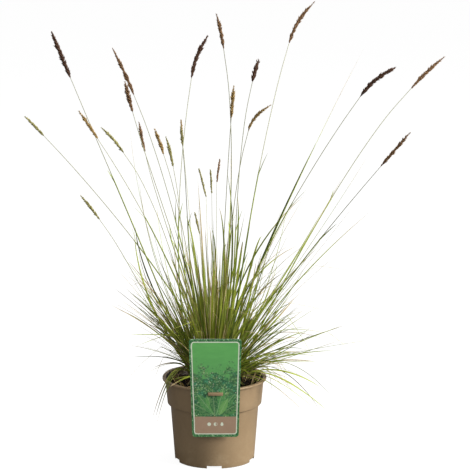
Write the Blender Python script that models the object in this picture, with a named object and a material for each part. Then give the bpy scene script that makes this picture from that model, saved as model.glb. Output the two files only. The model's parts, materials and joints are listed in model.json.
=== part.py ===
"""Potted autumn moor grass: a nursery pot with its label, the potting soil and the tussock.

Metres, +Z up. The origin is the centre of the pot's base, and the label faces -Y.
"""
import math
import random

import bmesh
import bpy
from mathutils import Matrix, Vector
from mathutils.bvhtree import BVHTree
from mathutils.geometry import interpolate_bezier

SEED = 79
UP = Vector((0, 0, 1))
GAP = 0.0003

# The pot, from the outside: rim, collar, wall and foot.
POT_HEIGHT = 0.138
POT_SIDES = 40
RIM_RADIUS = 0.0854
RIM_DEPTH = 0.0030
RIM_EDGE = 0.0007
COLLAR_TOP_RADIUS = 0.0810
COLLAR_FOOT_RADIUS = 0.0772
COLLAR_FOOT_HEIGHT = 0.0950
STEP_DROP = 0.0020
WALL_TOP_RADIUS = 0.0724
WALL_FOOT_RADIUS = 0.0654
WALL = 0.0018

# The pot's underside: a foot ring with notches, a raised floor with drain holes, a centre pad.
FOOT_CHAMFER = 0.0010
FOOT_RING_INSIDE = 0.0610
FLOOR_HEIGHT = 0.0050
FLOOR = 0.0020
PAD_RADIUS = 0.0140
NOTCHES = 5
NOTCH_WIDTH = 0.0240
NOTCH_HEIGHT = 0.0045
NOTCH_DEPTH = 0.0120
DRAIN_HOLES = 5
DRAIN_CIRCLE = 0.0400
DRAIN_RADIUS = 0.0040
DRAIN_SIDES = 8

# The lug under the rim that the label hangs on, and the label, a thin leaning card.
LUG_WIDTH = 0.0240
LUG_HEIGHT = 0.0050
LUG_TOP = 0.1342
LUG_ROOT = 0.0793
LUG_REACH = 0.0882
LABEL_ASIDE = 0.0022
LABEL_LEAN = math.radians(7)
LABEL_PIVOT_HEIGHT = 0.1352
LABEL_TOP = 0.0910
LABEL_FOOT = -0.0783
LABEL_TOP_WIDTH = 0.0842
LABEL_FOOT_WIDTH = 0.0746
LABEL_CORNER = 0.0050
LABEL_CORNER_STEPS = 3
LABEL_THICKNESS = 0.0006
LABEL_AIR = 0.0080
SLOT_MARGIN = 0.0004

# The soil: flat under the crown, then lumpy and falling a little towards the wall.
SOIL_SIDES = 30
CROWN_HEIGHT = 0.1280
CROWN_FLAT_RADIUS = 0.0440
SOIL_FALL = [(0.0500, 0.1273), (0.0580, 0.1260), (0.0690, 0.1245), (0.0775, 0.1238)]
SOIL_LUMP = 0.0010

# Flowering stems: where the neck and the tip of each spike are, how far the stem's middle lies
# aside of the straight line to the neck, and how stout the spike is. The nodding ones bend over
# at the neck.
STEMS = [
    # neck                    tip                      aside             stout
    ((-0.225, -0.055, 0.638), (-0.253, -0.062, 0.711), (0.004, 0.006), 0.0036),
    ((-0.275, 0.028, 0.532), (-0.306, 0.030, 0.564), (0.036, -0.004), 0.0021),
    ((-0.180, -0.110, 0.550), (-0.208, -0.122, 0.595), (0.028, 0.018), 0.0026),
    ((-0.150, 0.095, 0.493), (-0.188, 0.110, 0.534), (0.025, -0.012), 0.0022),
    ((-0.176, -0.148, 0.429), (-0.204, -0.164, 0.470), (-0.004, 0.020), 0.0020),
    ((-0.134, 0.130, 0.585), (-0.170, 0.148, 0.661), (0.020, -0.020), 0.0030),
    ((-0.126, -0.094, 0.590), (-0.137, -0.106, 0.639), (0.012, 0.014), 0.0031),
    ((-0.118, 0.165, 0.484), (-0.128, 0.180, 0.532), (0.009, -0.022), 0.0026),
    ((-0.075, -0.186, 0.538), (-0.088, -0.204, 0.580), (0.005, 0.026), 0.0026),
    ((-0.068, 0.074, 0.474), (-0.080, 0.080, 0.523), (-0.004, -0.010), 0.0022),
    ((-0.047, -0.140, 0.543), (-0.050, -0.152, 0.576), (-0.011, 0.014), 0.0018),
    ((-0.038, 0.112, 0.616), (-0.011, 0.124, 0.684), (-0.028, -0.012), 0.0035),
    ((0.016, -0.092, 0.688), (0.005, -0.102, 0.743), (0.016, 0.012), 0.0028),
    ((0.028, -0.205, 0.596), (0.032, -0.222, 0.648), (0.001, 0.024), 0.0027),
    ((0.062, 0.056, 0.617), (0.072, 0.061, 0.652), (-0.008, -0.006), 0.0033),
    ((0.122, 0.094, 0.675), (0.164, 0.106, 0.742), (-0.013, -0.012), 0.0029),
    ((0.054, -0.186, 0.574), (0.088, -0.202, 0.616), (-0.008, 0.024), 0.0021),
    ((0.230, -0.074, 0.611), (0.284, -0.084, 0.658), (-0.036, 0.012), 0.0037),
    ((0.323, 0.094, 0.601), (0.378, 0.104, 0.652), (-0.024, -0.012), 0.0031),
    ((0.260, -0.130, 0.510), (0.303, -0.146, 0.565), (-0.018, 0.016), 0.0028),
]
NODDING = (12, 16, 17, 18)
DARK_SPIKE = 0.0030
STEM_CIRCLE = (0.008, 0.036)
STEM_SEARCH = 0.01
STEM_SIDES = 3
STEM_PIECES = 8
STEM_FOOT_RADIUS = 0.0013
STEM_NECK_RADIUS = 0.0008
STEM_END_PULL = 0.25
STRAIGHT_SHARE = 0.9
NODDING_SHARE = 0.25
SPIKE_SIDES = 6
SPIKE_RINGS = 8
SPIKE_NECK = 0.35
SPIKE_SWELL = 4.0
SPIKE_TAPER = 4.5
SPIKE_KNOB = 0.12

# Tufts of leaves stand in circles: how many, how far from the middle, how far they lean.
TUFT_CIRCLES = [
    (1, 0.000, math.radians(0)),
    (6, 0.017, math.radians(12)),
    (10, 0.034, math.radians(30)),
]
TUFT_LEAVES = 8
TUFT_FOOT_RADIUS = 0.0044
TUFT_TOP_RADIUS = 0.0050
TUFT_HEIGHT = 0.0100
SHEATH_RISE = 0.0120
SHEATH_RADIUS = 0.0062
SHEATH_HALF_WIDTH = 0.0013
TURN_COST = 0.03

# Leaf blades: a ridged strip that widens above its sheath and runs out to a point.
LEAF_PIECES = 6
LEAF_HALF_WIDTH = 0.0019
LEAF_HALF_DEPTH = 0.0005
LEAF_ROLES = [(0, -1), (-1, 0), (1, 0)]
LEAF_TAPER = 1.7
LEAF_FOOT_LEVEL = 0.5
LEAF_LENGTH = (0.120, 0.255)
LEAF_FAN = (math.tan(math.radians(7)), math.tan(math.radians(22)))
LEAF_LEAN = (0.6, 1.5)
LEAF_STRAY = 0.3
LEAF_SAG = 1.3
LEAF_BOW = 0.12

# Some outer leaves that face away from the crown arch low over the pot's rim.
LOW_LEAF_SHARE = 0.50
LOW_LEAF_LEAN = (math.radians(42), math.radians(68))
LOW_LEAF_LENGTH = (0.090, 0.165)
LOW_LEAF_STRAY = 0.5
FACES_OUT = 0.3

# A shoot that would touch another is drawn again: turned further, shorter, or moved a little.
CLEARANCE = 0.0004
MOST_TRIES = 400
SHORTER_EACH_TRY = 0.996
LOOSER_EACH_TRY = 0.0003

# Leaves that stand out from the mass: middle and tip.
LONG_LEAVES = [
    ((-0.110, 0.020, 0.362), (-0.123, 0.030, 0.462)),
    ((-0.119, -0.030, 0.333), (-0.126, -0.050, 0.401)),
    ((-0.103, 0.040, 0.248), (-0.141, 0.060, 0.274)),
    ((-0.094, -0.030, 0.239), (-0.131, -0.040, 0.272)),
    ((-0.055, -0.050, 0.204), (-0.099, -0.070, 0.237)),
    ((-0.085, 0.020, 0.172), (-0.146, 0.030, 0.184)),
    ((-0.074, -0.020, 0.165), (-0.110, -0.030, 0.151)),
    ((-0.074, -0.046, 0.152), (-0.090, -0.056, 0.089)),
    ((0.110, 0.042, 0.403), (0.173, 0.066, 0.528)),
    ((0.103, -0.040, 0.338), (0.119, -0.060, 0.431)),
    ((0.157, 0.030, 0.318), (0.258, 0.050, 0.406)),
    ((0.137, -0.040, 0.324), (0.188, -0.060, 0.406)),
    ((0.088, 0.050, 0.273), (0.135, 0.080, 0.329)),
    ((0.087, -0.050, 0.222), (0.136, -0.080, 0.275)),
    ((0.109, 0.030, 0.217), (0.187, 0.040, 0.199)),
    ((0.131, -0.030, 0.202), (0.214, -0.050, 0.237)),
    ((0.094, 0.010, 0.175), (0.144, 0.020, 0.174)),
    ((0.107, -0.040, 0.176), (0.164, -0.060, 0.179)),
    ((0.146, 0.020, 0.150), (0.199, 0.030, 0.089)),
    ((0.128, -0.020, 0.150), (0.175, -0.040, 0.129)),
    ((0.123, -0.050, 0.143), (0.187, -0.070, 0.096)),
    ((-0.030, 0.100, 0.290), (-0.045, 0.165, 0.350)),
    ((0.040, 0.110, 0.240), (0.060, 0.190, 0.240)),
    ((0.000, 0.105, 0.190), (-0.010, 0.180, 0.150)),
    ((-0.030, -0.090, 0.310), (-0.040, -0.150, 0.390)),
    ((0.045, -0.095, 0.300), (0.075, -0.160, 0.350)),
    ((0.068, 0.030, 0.301), (0.134, 0.060, 0.335)),
    ((0.077, -0.030, 0.298), (0.124, -0.050, 0.343)),
    ((0.044, 0.040, 0.311), (0.056, 0.060, 0.336)),
    ((0.080, -0.030, 0.330), (0.104, -0.060, 0.408)),
    ((0.110, 0.050, 0.217), (0.141, 0.080, 0.239)),
    ((0.095, -0.040, 0.241), (0.115, -0.060, 0.280)),
    ((0.110, 0.030, 0.204), (0.135, 0.050, 0.220)),
    ((0.099, -0.040, 0.205), (0.126, -0.060, 0.227)),
    ((0.122, 0.050, 0.191), (0.159, 0.090, 0.193)),
    ((0.125, -0.020, 0.182), (0.163, -0.040, 0.210)),
    ((0.113, 0.030, 0.170), (0.147, 0.050, 0.166)),
    ((0.117, -0.010, 0.164), (0.169, -0.020, 0.168)),
    ((0.093, -0.050, 0.179), (0.114, -0.070, 0.196)),
    ((-0.114, 0.030, 0.257), (-0.139, 0.050, 0.297)),
    ((-0.108, -0.050, 0.257), (-0.129, -0.070, 0.281)),
    ((-0.105, 0.050, 0.238), (-0.141, 0.080, 0.259)),
]

COLOURS = {
    "pot_plastic": ((0.330, 0.240, 0.165), 0.45),
    "soil_mix": ((0.020, 0.014, 0.010), 0.95),
    "label_card": ((0.110, 0.340, 0.110), 0.35),
    "stem_green": ((0.150, 0.200, 0.060), 0.60),
    "spike_brown": ((0.070, 0.040, 0.022), 0.80),
    "spike_tan": ((0.210, 0.140, 0.070), 0.80),
    "leaf_green": ((0.130, 0.220, 0.035), 0.55),
}


def clear_scene():
    for obj in list(bpy.data.objects):
        bpy.data.objects.remove(obj, do_unlink=True)


def material(slot):
    found = bpy.data.materials.get(slot)
    if found:
        return found
    colour, roughness = COLOURS[slot]
    made = bpy.data.materials.new(slot)
    made.use_nodes = True
    shader = made.node_tree.nodes["Principled BSDF"]
    shader.inputs["Base Color"].default_value = (*colour, 1)
    shader.inputs["Roughness"].default_value = roughness
    shader.inputs["Metallic"].default_value = 0
    return made


def add_object(name, bm, slot=None, parent=None, smooth=None):
    """Turn a bmesh into a named object, smooth where its faces meet at less than an angle."""
    mesh = bpy.data.meshes.new(name)
    bm.to_mesh(mesh)
    bm.free()
    if smooth is not None:
        mesh.shade_smooth()
        mesh.set_sharp_from_angle(angle=smooth)
    obj = bpy.data.objects.new(name, mesh)
    obj.parent = parent
    bpy.context.scene.collection.objects.link(obj)
    if slot:
        mesh.materials.append(material(slot))
    return obj


def guide(obj):
    """Mark a cutter or an addition that another object uses."""
    obj.hide_render = True
    obj.display_type = "WIRE"
    return obj


def boolean(obj, other, operation):
    modifier = obj.modifiers.new(other.name, "BOOLEAN")
    modifier.operation = operation
    modifier.object = other


def on_circle(radius, angle, height=0.0):
    return Vector((radius * math.cos(angle), radius * math.sin(angle), height))


def turned(profile, sides):
    """A closed solid turned about Z from a list of (radius, height)."""
    bm = bmesh.new()
    verts = [bm.verts.new((radius, 0, height)) for radius, height in profile]
    edges = [bm.edges.new(pair) for pair in zip(verts, verts[1:])]
    bmesh.ops.spin(bm, geom=verts + edges, cent=(0, 0, 0), axis=(0, 0, 1), angle=math.tau,
                   steps=sides, use_merge=True)
    bmesh.ops.remove_doubles(bm, verts=bm.verts, dist=1e-6)
    bmesh.ops.recalc_face_normals(bm, faces=bm.faces)
    bmesh.ops.rotate(bm, verts=bm.verts, matrix=Matrix.Rotation(math.pi / sides, 3, "Z"))
    return bm


def add_block(bm, size, place):
    bmesh.ops.create_cube(bm, size=1, matrix=place @ Matrix.Diagonal((*size, 1)))


def pot_profile():
    """Up the outside from the centre pad, over the rim, and down the inside to the floor."""
    step = COLLAR_FOOT_HEIGHT - STEP_DROP
    rim_under = POT_HEIGHT - RIM_DEPTH
    outside = [
        (0, 0),
        (PAD_RADIUS, 0),
        (PAD_RADIUS + FOOT_CHAMFER, FLOOR_HEIGHT),
        (FOOT_RING_INSIDE - FOOT_CHAMFER, FLOOR_HEIGHT),
        (FOOT_RING_INSIDE, 0),
        (WALL_FOOT_RADIUS - FOOT_CHAMFER, 0),
        (WALL_FOOT_RADIUS, FOOT_CHAMFER),
        (WALL_TOP_RADIUS, step),
        (COLLAR_FOOT_RADIUS - STEP_DROP / 2, COLLAR_FOOT_HEIGHT - STEP_DROP / 4),
        (COLLAR_FOOT_RADIUS, COLLAR_FOOT_HEIGHT + STEP_DROP / 4),
        (COLLAR_TOP_RADIUS, rim_under - RIM_EDGE),
        (RIM_RADIUS - RIM_EDGE, rim_under),
        (RIM_RADIUS, rim_under + RIM_EDGE),
        (RIM_RADIUS, POT_HEIGHT - RIM_EDGE),
        (RIM_RADIUS - RIM_EDGE, POT_HEIGHT),
    ]
    inside = [
        (COLLAR_TOP_RADIUS - WALL + RIM_EDGE, POT_HEIGHT),
        (COLLAR_TOP_RADIUS - WALL, POT_HEIGHT - RIM_EDGE),
        (COLLAR_FOOT_RADIUS - WALL, COLLAR_FOOT_HEIGHT + WALL),
        (WALL_TOP_RADIUS - WALL, step),
        (WALL_FOOT_RADIUS - WALL, FLOOR_HEIGHT + FLOOR + FOOT_CHAMFER),
        (WALL_FOOT_RADIUS - WALL - FOOT_CHAMFER, FLOOR_HEIGHT + FLOOR),
        (0, FLOOR_HEIGHT + FLOOR),
    ]
    return outside + inside


def make_pot(root):
    pot = add_object("pot", turned(pot_profile(), POT_SIDES), "pot_plastic", root,
                     smooth=math.radians(30))
    cuts = bmesh.new()
    for i in range(NOTCHES):
        turn = Matrix.Rotation(i * math.tau / NOTCHES, 4, "Z")
        reach = Matrix.Translation((0, -FOOT_RING_INSIDE - FOOT_CHAMFER, 0))
        add_block(cuts, (NOTCH_WIDTH, NOTCH_DEPTH, 2 * NOTCH_HEIGHT), turn @ reach)
    for i in range(DRAIN_HOLES):
        place = on_circle(DRAIN_CIRCLE, (i + 0.25) * math.tau / DRAIN_HOLES, FLOOR_HEIGHT + FLOOR / 2)
        bmesh.ops.create_cone(cuts, cap_ends=True, segments=DRAIN_SIDES, radius1=DRAIN_RADIUS,
                              radius2=DRAIN_RADIUS, depth=3 * FLOOR,
                              matrix=Matrix.Translation(place))
    boolean(pot, guide(add_object("notches_and_drain_holes", cuts, parent=root)), "DIFFERENCE")

    lug = bmesh.new()
    middle = Vector((LABEL_ASIDE, -(LUG_ROOT + LUG_REACH) / 2, LUG_TOP - LUG_HEIGHT / 2))
    add_block(lug, (LUG_WIDTH, LUG_REACH - LUG_ROOT, LUG_HEIGHT), Matrix.Translation(middle))
    boolean(pot, guide(add_object("label_lug", lug, parent=root)), "UNION")
    return pot


def make_soil(root, chance):
    """The soil fills the pot with a gap to its wall, and its open surface is lumpy."""
    wall = WALL + GAP
    bm = turned([
        (0, FLOOR_HEIGHT + FLOOR + GAP),
        (WALL_FOOT_RADIUS - wall - FOOT_CHAMFER, FLOOR_HEIGHT + FLOOR + GAP),
        (WALL_FOOT_RADIUS - wall, FLOOR_HEIGHT + FLOOR + FOOT_CHAMFER + GAP),
        (WALL_TOP_RADIUS - wall, COLLAR_FOOT_HEIGHT - STEP_DROP + GAP),
        (COLLAR_FOOT_RADIUS - wall, COLLAR_FOOT_HEIGHT + WALL + GAP),
        *reversed(SOIL_FALL),
        (CROWN_FLAT_RADIUS, CROWN_HEIGHT),
        (0, CROWN_HEIGHT),
    ], SOIL_SIDES)
    edge_height = SOIL_FALL[-1][1]
    for vert in bm.verts:
        open_soil = vert.co.z > edge_height - GAP
        if open_soil and vert.co.xy.length > CROWN_FLAT_RADIUS + GAP:
            vert.co.z += chance.uniform(-SOIL_LUMP, SOIL_LUMP)
    return add_object("soil", bm, "soil_mix", root, smooth=math.radians(40))


def rounded_outline():
    """The card's outline in its own plane, anticlockwise, with an arc at each corner."""
    corners = [
        (LABEL_TOP_WIDTH / 2, LABEL_TOP, 0),
        (-LABEL_TOP_WIDTH / 2, LABEL_TOP, 90),
        (-LABEL_FOOT_WIDTH / 2, LABEL_FOOT, 180),
        (LABEL_FOOT_WIDTH / 2, LABEL_FOOT, 270),
    ]
    points = []
    for x, z, first in corners:
        centre_x = x - math.copysign(LABEL_CORNER, x)
        centre_z = z - math.copysign(LABEL_CORNER, z)
        for step in range(LABEL_CORNER_STEPS + 1):
            angle = math.radians(first + 90 * step / LABEL_CORNER_STEPS)
            points.append((centre_x + LABEL_CORNER * math.cos(angle),
                           centre_z + LABEL_CORNER * math.sin(angle)))
    return points


def slot_outline():
    half = LUG_WIDTH / 2 + SLOT_MARGIN
    top = LUG_TOP - LABEL_PIVOT_HEIGHT + SLOT_MARGIN
    foot = top - LUG_HEIGHT - 2 * SLOT_MARGIN
    return [(half, top), (-half, top), (-half, foot), (half, foot)]


def make_label(root):
    bm = bmesh.new()
    edges = []
    for outline in (rounded_outline(), slot_outline()):
        verts = [bm.verts.new((x, -LABEL_THICKNESS, z)) for x, z in outline]
        edges += [bm.edges.new(pair) for pair in zip(verts, verts[1:] + verts[:1])]
    front = bmesh.ops.triangle_fill(bm, edges=edges, use_beauty=True)["geom"]
    faces = [part for part in front if isinstance(part, bmesh.types.BMFace)]
    back = bmesh.ops.extrude_face_region(bm, geom=faces, use_keep_orig=True)["geom"]
    moved = [part for part in back if isinstance(part, bmesh.types.BMVert)]
    bmesh.ops.translate(bm, verts=moved, vec=(0, LABEL_THICKNESS, 0))
    bmesh.ops.recalc_face_normals(bm, faces=bm.faces)
    label = add_object("label", bm, "label_card", root)
    label.location = (LABEL_ASIDE, -RIM_RADIUS - GAP, LABEL_PIVOT_HEIGHT)
    label.rotation_euler.x = LABEL_LEAN
    return label


def bent(start, middle, end, pieces):
    """Points of the smooth arc that runs from start through middle to end."""
    pull = middle * 2 - (start + end) / 2
    points = []
    for i in range(pieces + 1):
        t = i / pieces
        points.append(start * (1 - t) ** 2 + pull * (2 * t * (1 - t)) + end * t ** 2)
    return points


def sections(path, outline, sizes, first_side, last_side, level=1.0):
    """One ring of corners at each point of a path, square to it and turning from side to side."""
    rings = []
    last = len(path) - 1
    for i, (half_width, half_depth) in enumerate(sizes):
        along = (path[min(i + 1, last)] - path[max(i - 1, 0)]).normalized()
        if i == 0:
            along = along.lerp(UP, level).normalized()
        side = first_side.lerp(last_side, i / last)
        side = (side - along * side.dot(along)).normalized()
        face = along.cross(side)
        rings.append([path[i] + side * a * half_width + face * b * half_depth for a, b in outline])
    return rings


def round_outline(sides):
    return [(math.cos(i * math.tau / sides), math.sin(i * math.tau / sides)) for i in range(sides)]


def grow(bm, face, rings, tip=None):
    """Extrude one face through rings of corners, and close it to a point if there is a tip."""
    for ring in rings:
        face = bmesh.ops.extrude_discrete_faces(bm, faces=[face])["faces"][0]
        for vert, place in zip(face.verts, ring):
            vert.co = place
    if tip is not None:
        bmesh.ops.pointmerge(bm, verts=face.verts[:], merge_co=tip)


def rod(rings, tip=None):
    """A closed rod through rings of corners. The copy of the first face stays as its foot."""
    bm = bmesh.new()
    bmesh.ops.create_circle(bm, cap_ends=True, segments=len(rings[0]), radius=1)
    face = bm.faces[:][0]
    for vert, place in zip(face.verts, rings[0]):
        vert.co = place
    face.copy(verts=False, edges=False)
    grow(bm, face, rings[1:], tip)
    bmesh.ops.recalc_face_normals(bm, faces=bm.faces)
    return bm


class Room:
    """Remembers the surfaces that are taken, and tells whether new ones stay clear of them."""

    def __init__(self):
        self.taken = []

    def take_object(self, obj):
        verts = [obj.matrix_basis @ vert.co for vert in obj.data.vertices]
        faces = [tuple(face.vertices) for face in obj.data.polygons]
        self.taken.append((None, BVHTree.FromPolygons(verts, faces)))

    def take(self, rings, owner=None):
        self.taken.append((owner, ring_tree(rings)))

    def free(self, rings, owner=-1):
        """Whether rings stay clear of all that is taken, apart from what their owner keeps."""
        tree = ring_tree(rings)
        return not any(whose != owner and tree.overlap(other) for whose, other in self.taken)


def ring_tree(rings):
    count = len(rings[0])
    verts = [place for ring in rings for place in ring]
    faces = [tuple(range(count)), tuple(range(len(verts) - count, len(verts)))]
    for row in range(len(rings) - 1):
        for i in range(count):
            j = (i + 1) % count
            low, high = row * count, (row + 1) * count
            faces.append((low + i, low + j, high + j, high + i))
    return BVHTree.FromPolygons(verts, faces)


def stem_path(foot, neck, tip, aside, nodding):
    """A smooth arc through the stem's middle that heads for the spike's tip, unless it nods."""
    middle = foot.lerp(neck, 0.5) + Vector((*aside, 0))
    share = NODDING_SHARE if nodding else STRAIGHT_SHARE
    heading = (neck - middle).normalized().lerp((tip - neck).normalized(), share)
    before = neck - heading.normalized() * (neck - foot).length * STEM_END_PULL
    after = (middle * 8 - foot - before * 3 - neck) / 3
    return interpolate_bezier(foot, after, before, neck, STEM_PIECES + 1)


def stem_rings(path, grown=0.0):
    sizes = []
    for i in range(STEM_PIECES + 1):
        radius = STEM_FOOT_RADIUS + (STEM_NECK_RADIUS - STEM_FOOT_RADIUS) * i / STEM_PIECES + grown
        sizes.append((radius, radius))
    across = Vector((1, 0, 0))
    return sections(path, round_outline(STEM_SIDES), sizes, across, across)


def spike_rings(stem, tip, stout):
    """The spike goes on from the stem's end and bends over towards its tip."""
    onward = (stem[-1] - stem[-2]).normalized()
    start = stem[-1] + onward * GAP
    length = (tip - start).length
    middle = start.lerp(tip, 0.5).lerp(start + onward * length / 2, 0.5)
    path = bent(start, middle, tip, SPIKE_RINGS)
    sizes = []
    for i in range(SPIKE_RINGS):
        t = i / SPIKE_RINGS
        swell = min(1, SPIKE_NECK + SPIKE_SWELL * t, SPIKE_TAPER * (1 - t))
        knob = SPIKE_KNOB if i % 2 else -SPIKE_KNOB
        radius = stout * swell * (1 + knob)
        sizes.append((radius, radius))
    across = Vector((1, 0, 0))
    outline = round_outline(SPIKE_SIDES)
    return sections(path, outline, sizes, across, across, level=0.0)


def make_stems(root, chance, room):
    for i, (neck, tip, aside, stout) in enumerate(STEMS, start=1):
        neck, tip = Vector(neck), Vector(tip)
        azimuth = math.atan2(neck.y, neck.x)
        for attempt in range(MOST_TRIES):
            turn = azimuth + chance.uniform(-1, 1) * STEM_SEARCH * attempt
            foot = on_circle(chance.uniform(*STEM_CIRCLE), turn, CROWN_HEIGHT + GAP)
            path = stem_path(foot, neck, tip, aside, i in NODDING)
            if room.free(stem_rings(path, CLEARANCE)):
                break
        rings = stem_rings(path)
        room.take(rings)
        add_object(f"stem_{i:02d}", rod(rings), "stem_green", root, smooth=math.radians(80))
        rings = spike_rings(path, tip, stout)
        room.take(rings)
        slot = "spike_brown" if stout > DARK_SPIKE else "spike_tan"
        add_object(f"flower_spike_{i:02d}", rod(rings, tip), slot, root)


def before_label(point):
    """True where a leaf would hang in front of the label."""
    top = LABEL_PIVOT_HEIGHT + LABEL_TOP + LABEL_AIR
    aside = abs(point.x - LABEL_ASIDE) < LABEL_TOP_WIDTH / 2 + LABEL_AIR
    return aside and point.y < -COLLAR_FOOT_RADIUS and point.z < top


def leaf_rings(start, middle, tip, out, roles=LEAF_ROLES, grown=0.0):
    """Rings of a leaf from its sheath to short of its tip; its flat side turns to face up."""
    path = bent(start, middle, tip, LEAF_PIECES)
    widths = [SHEATH_HALF_WIDTH]
    for i in range(1, LEAF_PIECES):
        t = i / LEAF_PIECES
        widths.append(LEAF_HALF_WIDTH * min(1, LEAF_TAPER * (1 - t)))
    sizes = [(width + grown, LEAF_HALF_DEPTH + grown) for width in widths]
    first_side = out.cross(UP)
    last_side = (tip - start).cross(UP).normalized()
    if last_side.dot(first_side) < 0:
        last_side = first_side
    return sections(path, roles, sizes, first_side, last_side, level=LEAF_FOOT_LEVEL)


def turned_from(lean, azimuth):
    return on_circle(math.sin(lean), azimuth, math.cos(lean))


def drawn_leaf(start, out, tuft, chance, attempt):
    """Middle and tip of a leaf that leans with its tuft and fans out on its own side."""
    azimuth, lean, outer = tuft
    faces_out = outer and out.dot(on_circle(1, azimuth)) > FACES_OUT
    if faces_out and chance.random() < LOW_LEAF_SHARE:
        length = chance.uniform(*LOW_LEAF_LENGTH)
        stray = chance.uniform(-LOW_LEAF_STRAY, LOW_LEAF_STRAY)
        way = turned_from(chance.uniform(*LOW_LEAF_LEAN), azimuth + stray)
    else:
        length = chance.uniform(*LEAF_LENGTH)
        stray = chance.uniform(-LEAF_STRAY, LEAF_STRAY)
        way = turned_from(lean * chance.uniform(*LEAF_LEAN), azimuth + stray)
        way = (way + out * chance.uniform(*LEAF_FAN)).normalized()
    tip = start + way * length * SHORTER_EACH_TRY ** attempt
    reach = (tip - start).xy.length
    tip.z -= LEAF_SAG * reach ** 2
    middle = start.lerp(tip, 0.5) + UP * LEAF_BOW * reach
    return middle, tip


def tuft_places():
    """Foot of each tuft on the crown, with its azimuth, its lean and whether it is an outer one."""
    places = []
    outermost = TUFT_CIRCLES[-1][1]
    for count, radius, lean in TUFT_CIRCLES:
        for i in range(count):
            azimuth = (i + 0.5) * math.tau / count
            foot = on_circle(radius, azimuth, CROWN_HEIGHT + GAP)
            places.append((foot, (azimuth, lean, radius == outermost)))
    return places


def leaf_out(index):
    return on_circle(1, (index + 0.5) * math.tau / TUFT_LEAVES)


def leaf_start(foot, index):
    return foot + leaf_out(index) * SHEATH_RADIUS + UP * (TUFT_HEIGHT + SHEATH_RISE)


def steepness(leaf):
    """Rise over reach from the tops of the tufts to a long leaf's middle."""
    middle = Vector(leaf[0])
    return (middle.z - CROWN_HEIGHT - TUFT_HEIGHT - SHEATH_RISE) / middle.xy.length


def share_long_leaves(places):
    """Give each long leaf, the flattest first, the free place that lies nearest to its direction."""
    given = {}
    for middle, tip in sorted(LONG_LEAVES, key=steepness):
        middle, tip = Vector(middle), Vector(tip)
        level = Vector((middle.x, middle.y, 0)).normalized()
        wanted = level * TUFT_CIRCLES[-1][1]
        best = None
        for number, (foot, _) in enumerate(places):
            for index in range(TUFT_LEAVES):
                if (number, index) in given:
                    continue
                far = (leaf_start(foot, index) - wanted).xy.length
                cost = far + TURN_COST * (1 - leaf_out(index).dot(level))
                if best is None or cost < best[0]:
                    best = (cost, (number, index))
        given[best[1]] = (middle, tip)
    return given


def reserve_tuft(number, foot, room):
    """Keep the stems and the other tufts' leaves out of the bundle of sheaths."""
    rings = []
    for height in (0, TUFT_HEIGHT + SHEATH_RISE + CLEARANCE):
        radius = SHEATH_RADIUS + SHEATH_HALF_WIDTH / 2
        corners = [on_circle(radius, i * math.tau / TUFT_LEAVES) for i in range(TUFT_LEAVES)]
        rings.append([foot + corner + UP * height for corner in corners])
    room.take(rings, number)


def loosened(wanted, attempt, chance):
    """A long leaf moved over a little, its tip twice as far as its middle."""
    loose = LOOSER_EACH_TRY * attempt
    shift = Vector([chance.uniform(-loose, loose) for _ in range(3)])
    middle, tip = wanted
    return middle + shift / 2, tip + shift


def find_leaf(places, number, index, wanted, chance, room):
    """Middle and tip of one leaf that touches nothing, or None where there is no room."""
    foot, tuft = places[number]
    out, start = leaf_out(index), leaf_start(foot, index)
    for attempt in range(MOST_TRIES):
        if wanted:
            middle, tip = loosened(wanted, attempt, chance)
        else:
            middle, tip = drawn_leaf(start, out, tuft, chance, attempt)
        if any(before_label(point) for point in bent(start, middle, tip, LEAF_PIECES)):
            continue
        fat = leaf_rings(start, middle, tip, out, grown=CLEARANCE) + [[tip] * 3]
        if room.free(fat, number):
            room.take(leaf_rings(start, middle, tip, out) + [[tip] * 3])
            return middle, tip
    return None


def find_leaves(places, chance, room):
    """The long leaves find their places first, and the others fill in between them."""
    long_leaves = share_long_leaves(places)
    seats = list(long_leaves)
    seats += [(number, index) for number in range(len(places)) for index in range(TUFT_LEAVES)
              if (number, index) not in long_leaves]
    return {seat: find_leaf(places, *seat, long_leaves.get(seat), chance, room) for seat in seats}


def corner_roles(wedge, foot, side):
    """Which corner of a wedge becomes the leaf's ridge and which its two edges."""
    middle = wedge.calc_center_median()
    roles = []
    for vert in wedge.verts:
        if (vert.co - foot).xy.length < TUFT_TOP_RADIUS / 2:
            roles.append((0, -1))
        else:
            roles.append((math.copysign(1, (vert.co - middle).dot(side)), 0))
    return roles


def make_tuft(number, foot, leaves, root):
    """A short sheath bundle whose top is parted in wedges, each drawn out into a leaf."""
    bm = bmesh.new()
    bmesh.ops.create_cone(bm, cap_ends=True, cap_tris=True, segments=TUFT_LEAVES,
                          radius1=TUFT_FOOT_RADIUS, radius2=TUFT_TOP_RADIUS, depth=TUFT_HEIGHT,
                          matrix=Matrix.Translation(foot + UP * TUFT_HEIGHT / 2))
    top = foot.z + TUFT_HEIGHT
    wedges = [face for face in bm.faces if min(vert.co.z for vert in face.verts) > top - GAP]
    for wedge in wedges:
        away = wedge.calc_center_median() - foot
        index = int((math.atan2(away.y, away.x) % math.tau) / math.tau * TUFT_LEAVES)
        if leaves[number, index] is None:
            continue
        middle, tip = leaves[number, index]
        out, start = leaf_out(index), leaf_start(foot, index)
        roles = corner_roles(wedge, foot, out.cross(UP))
        grow(bm, wedge, leaf_rings(start, middle, tip, out, roles), tip)
    # A turning leaf has bent faces, and only the shorter diagonal keeps them from crossing.
    bmesh.ops.triangulate(bm, faces=bm.faces[:], quad_method="SHORT_EDGE")
    bmesh.ops.recalc_face_normals(bm, faces=bm.faces)
    name = f"leaf_tuft_{number + 1:02d}"
    return add_object(name, bm, "leaf_green", root, smooth=math.radians(60))


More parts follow.
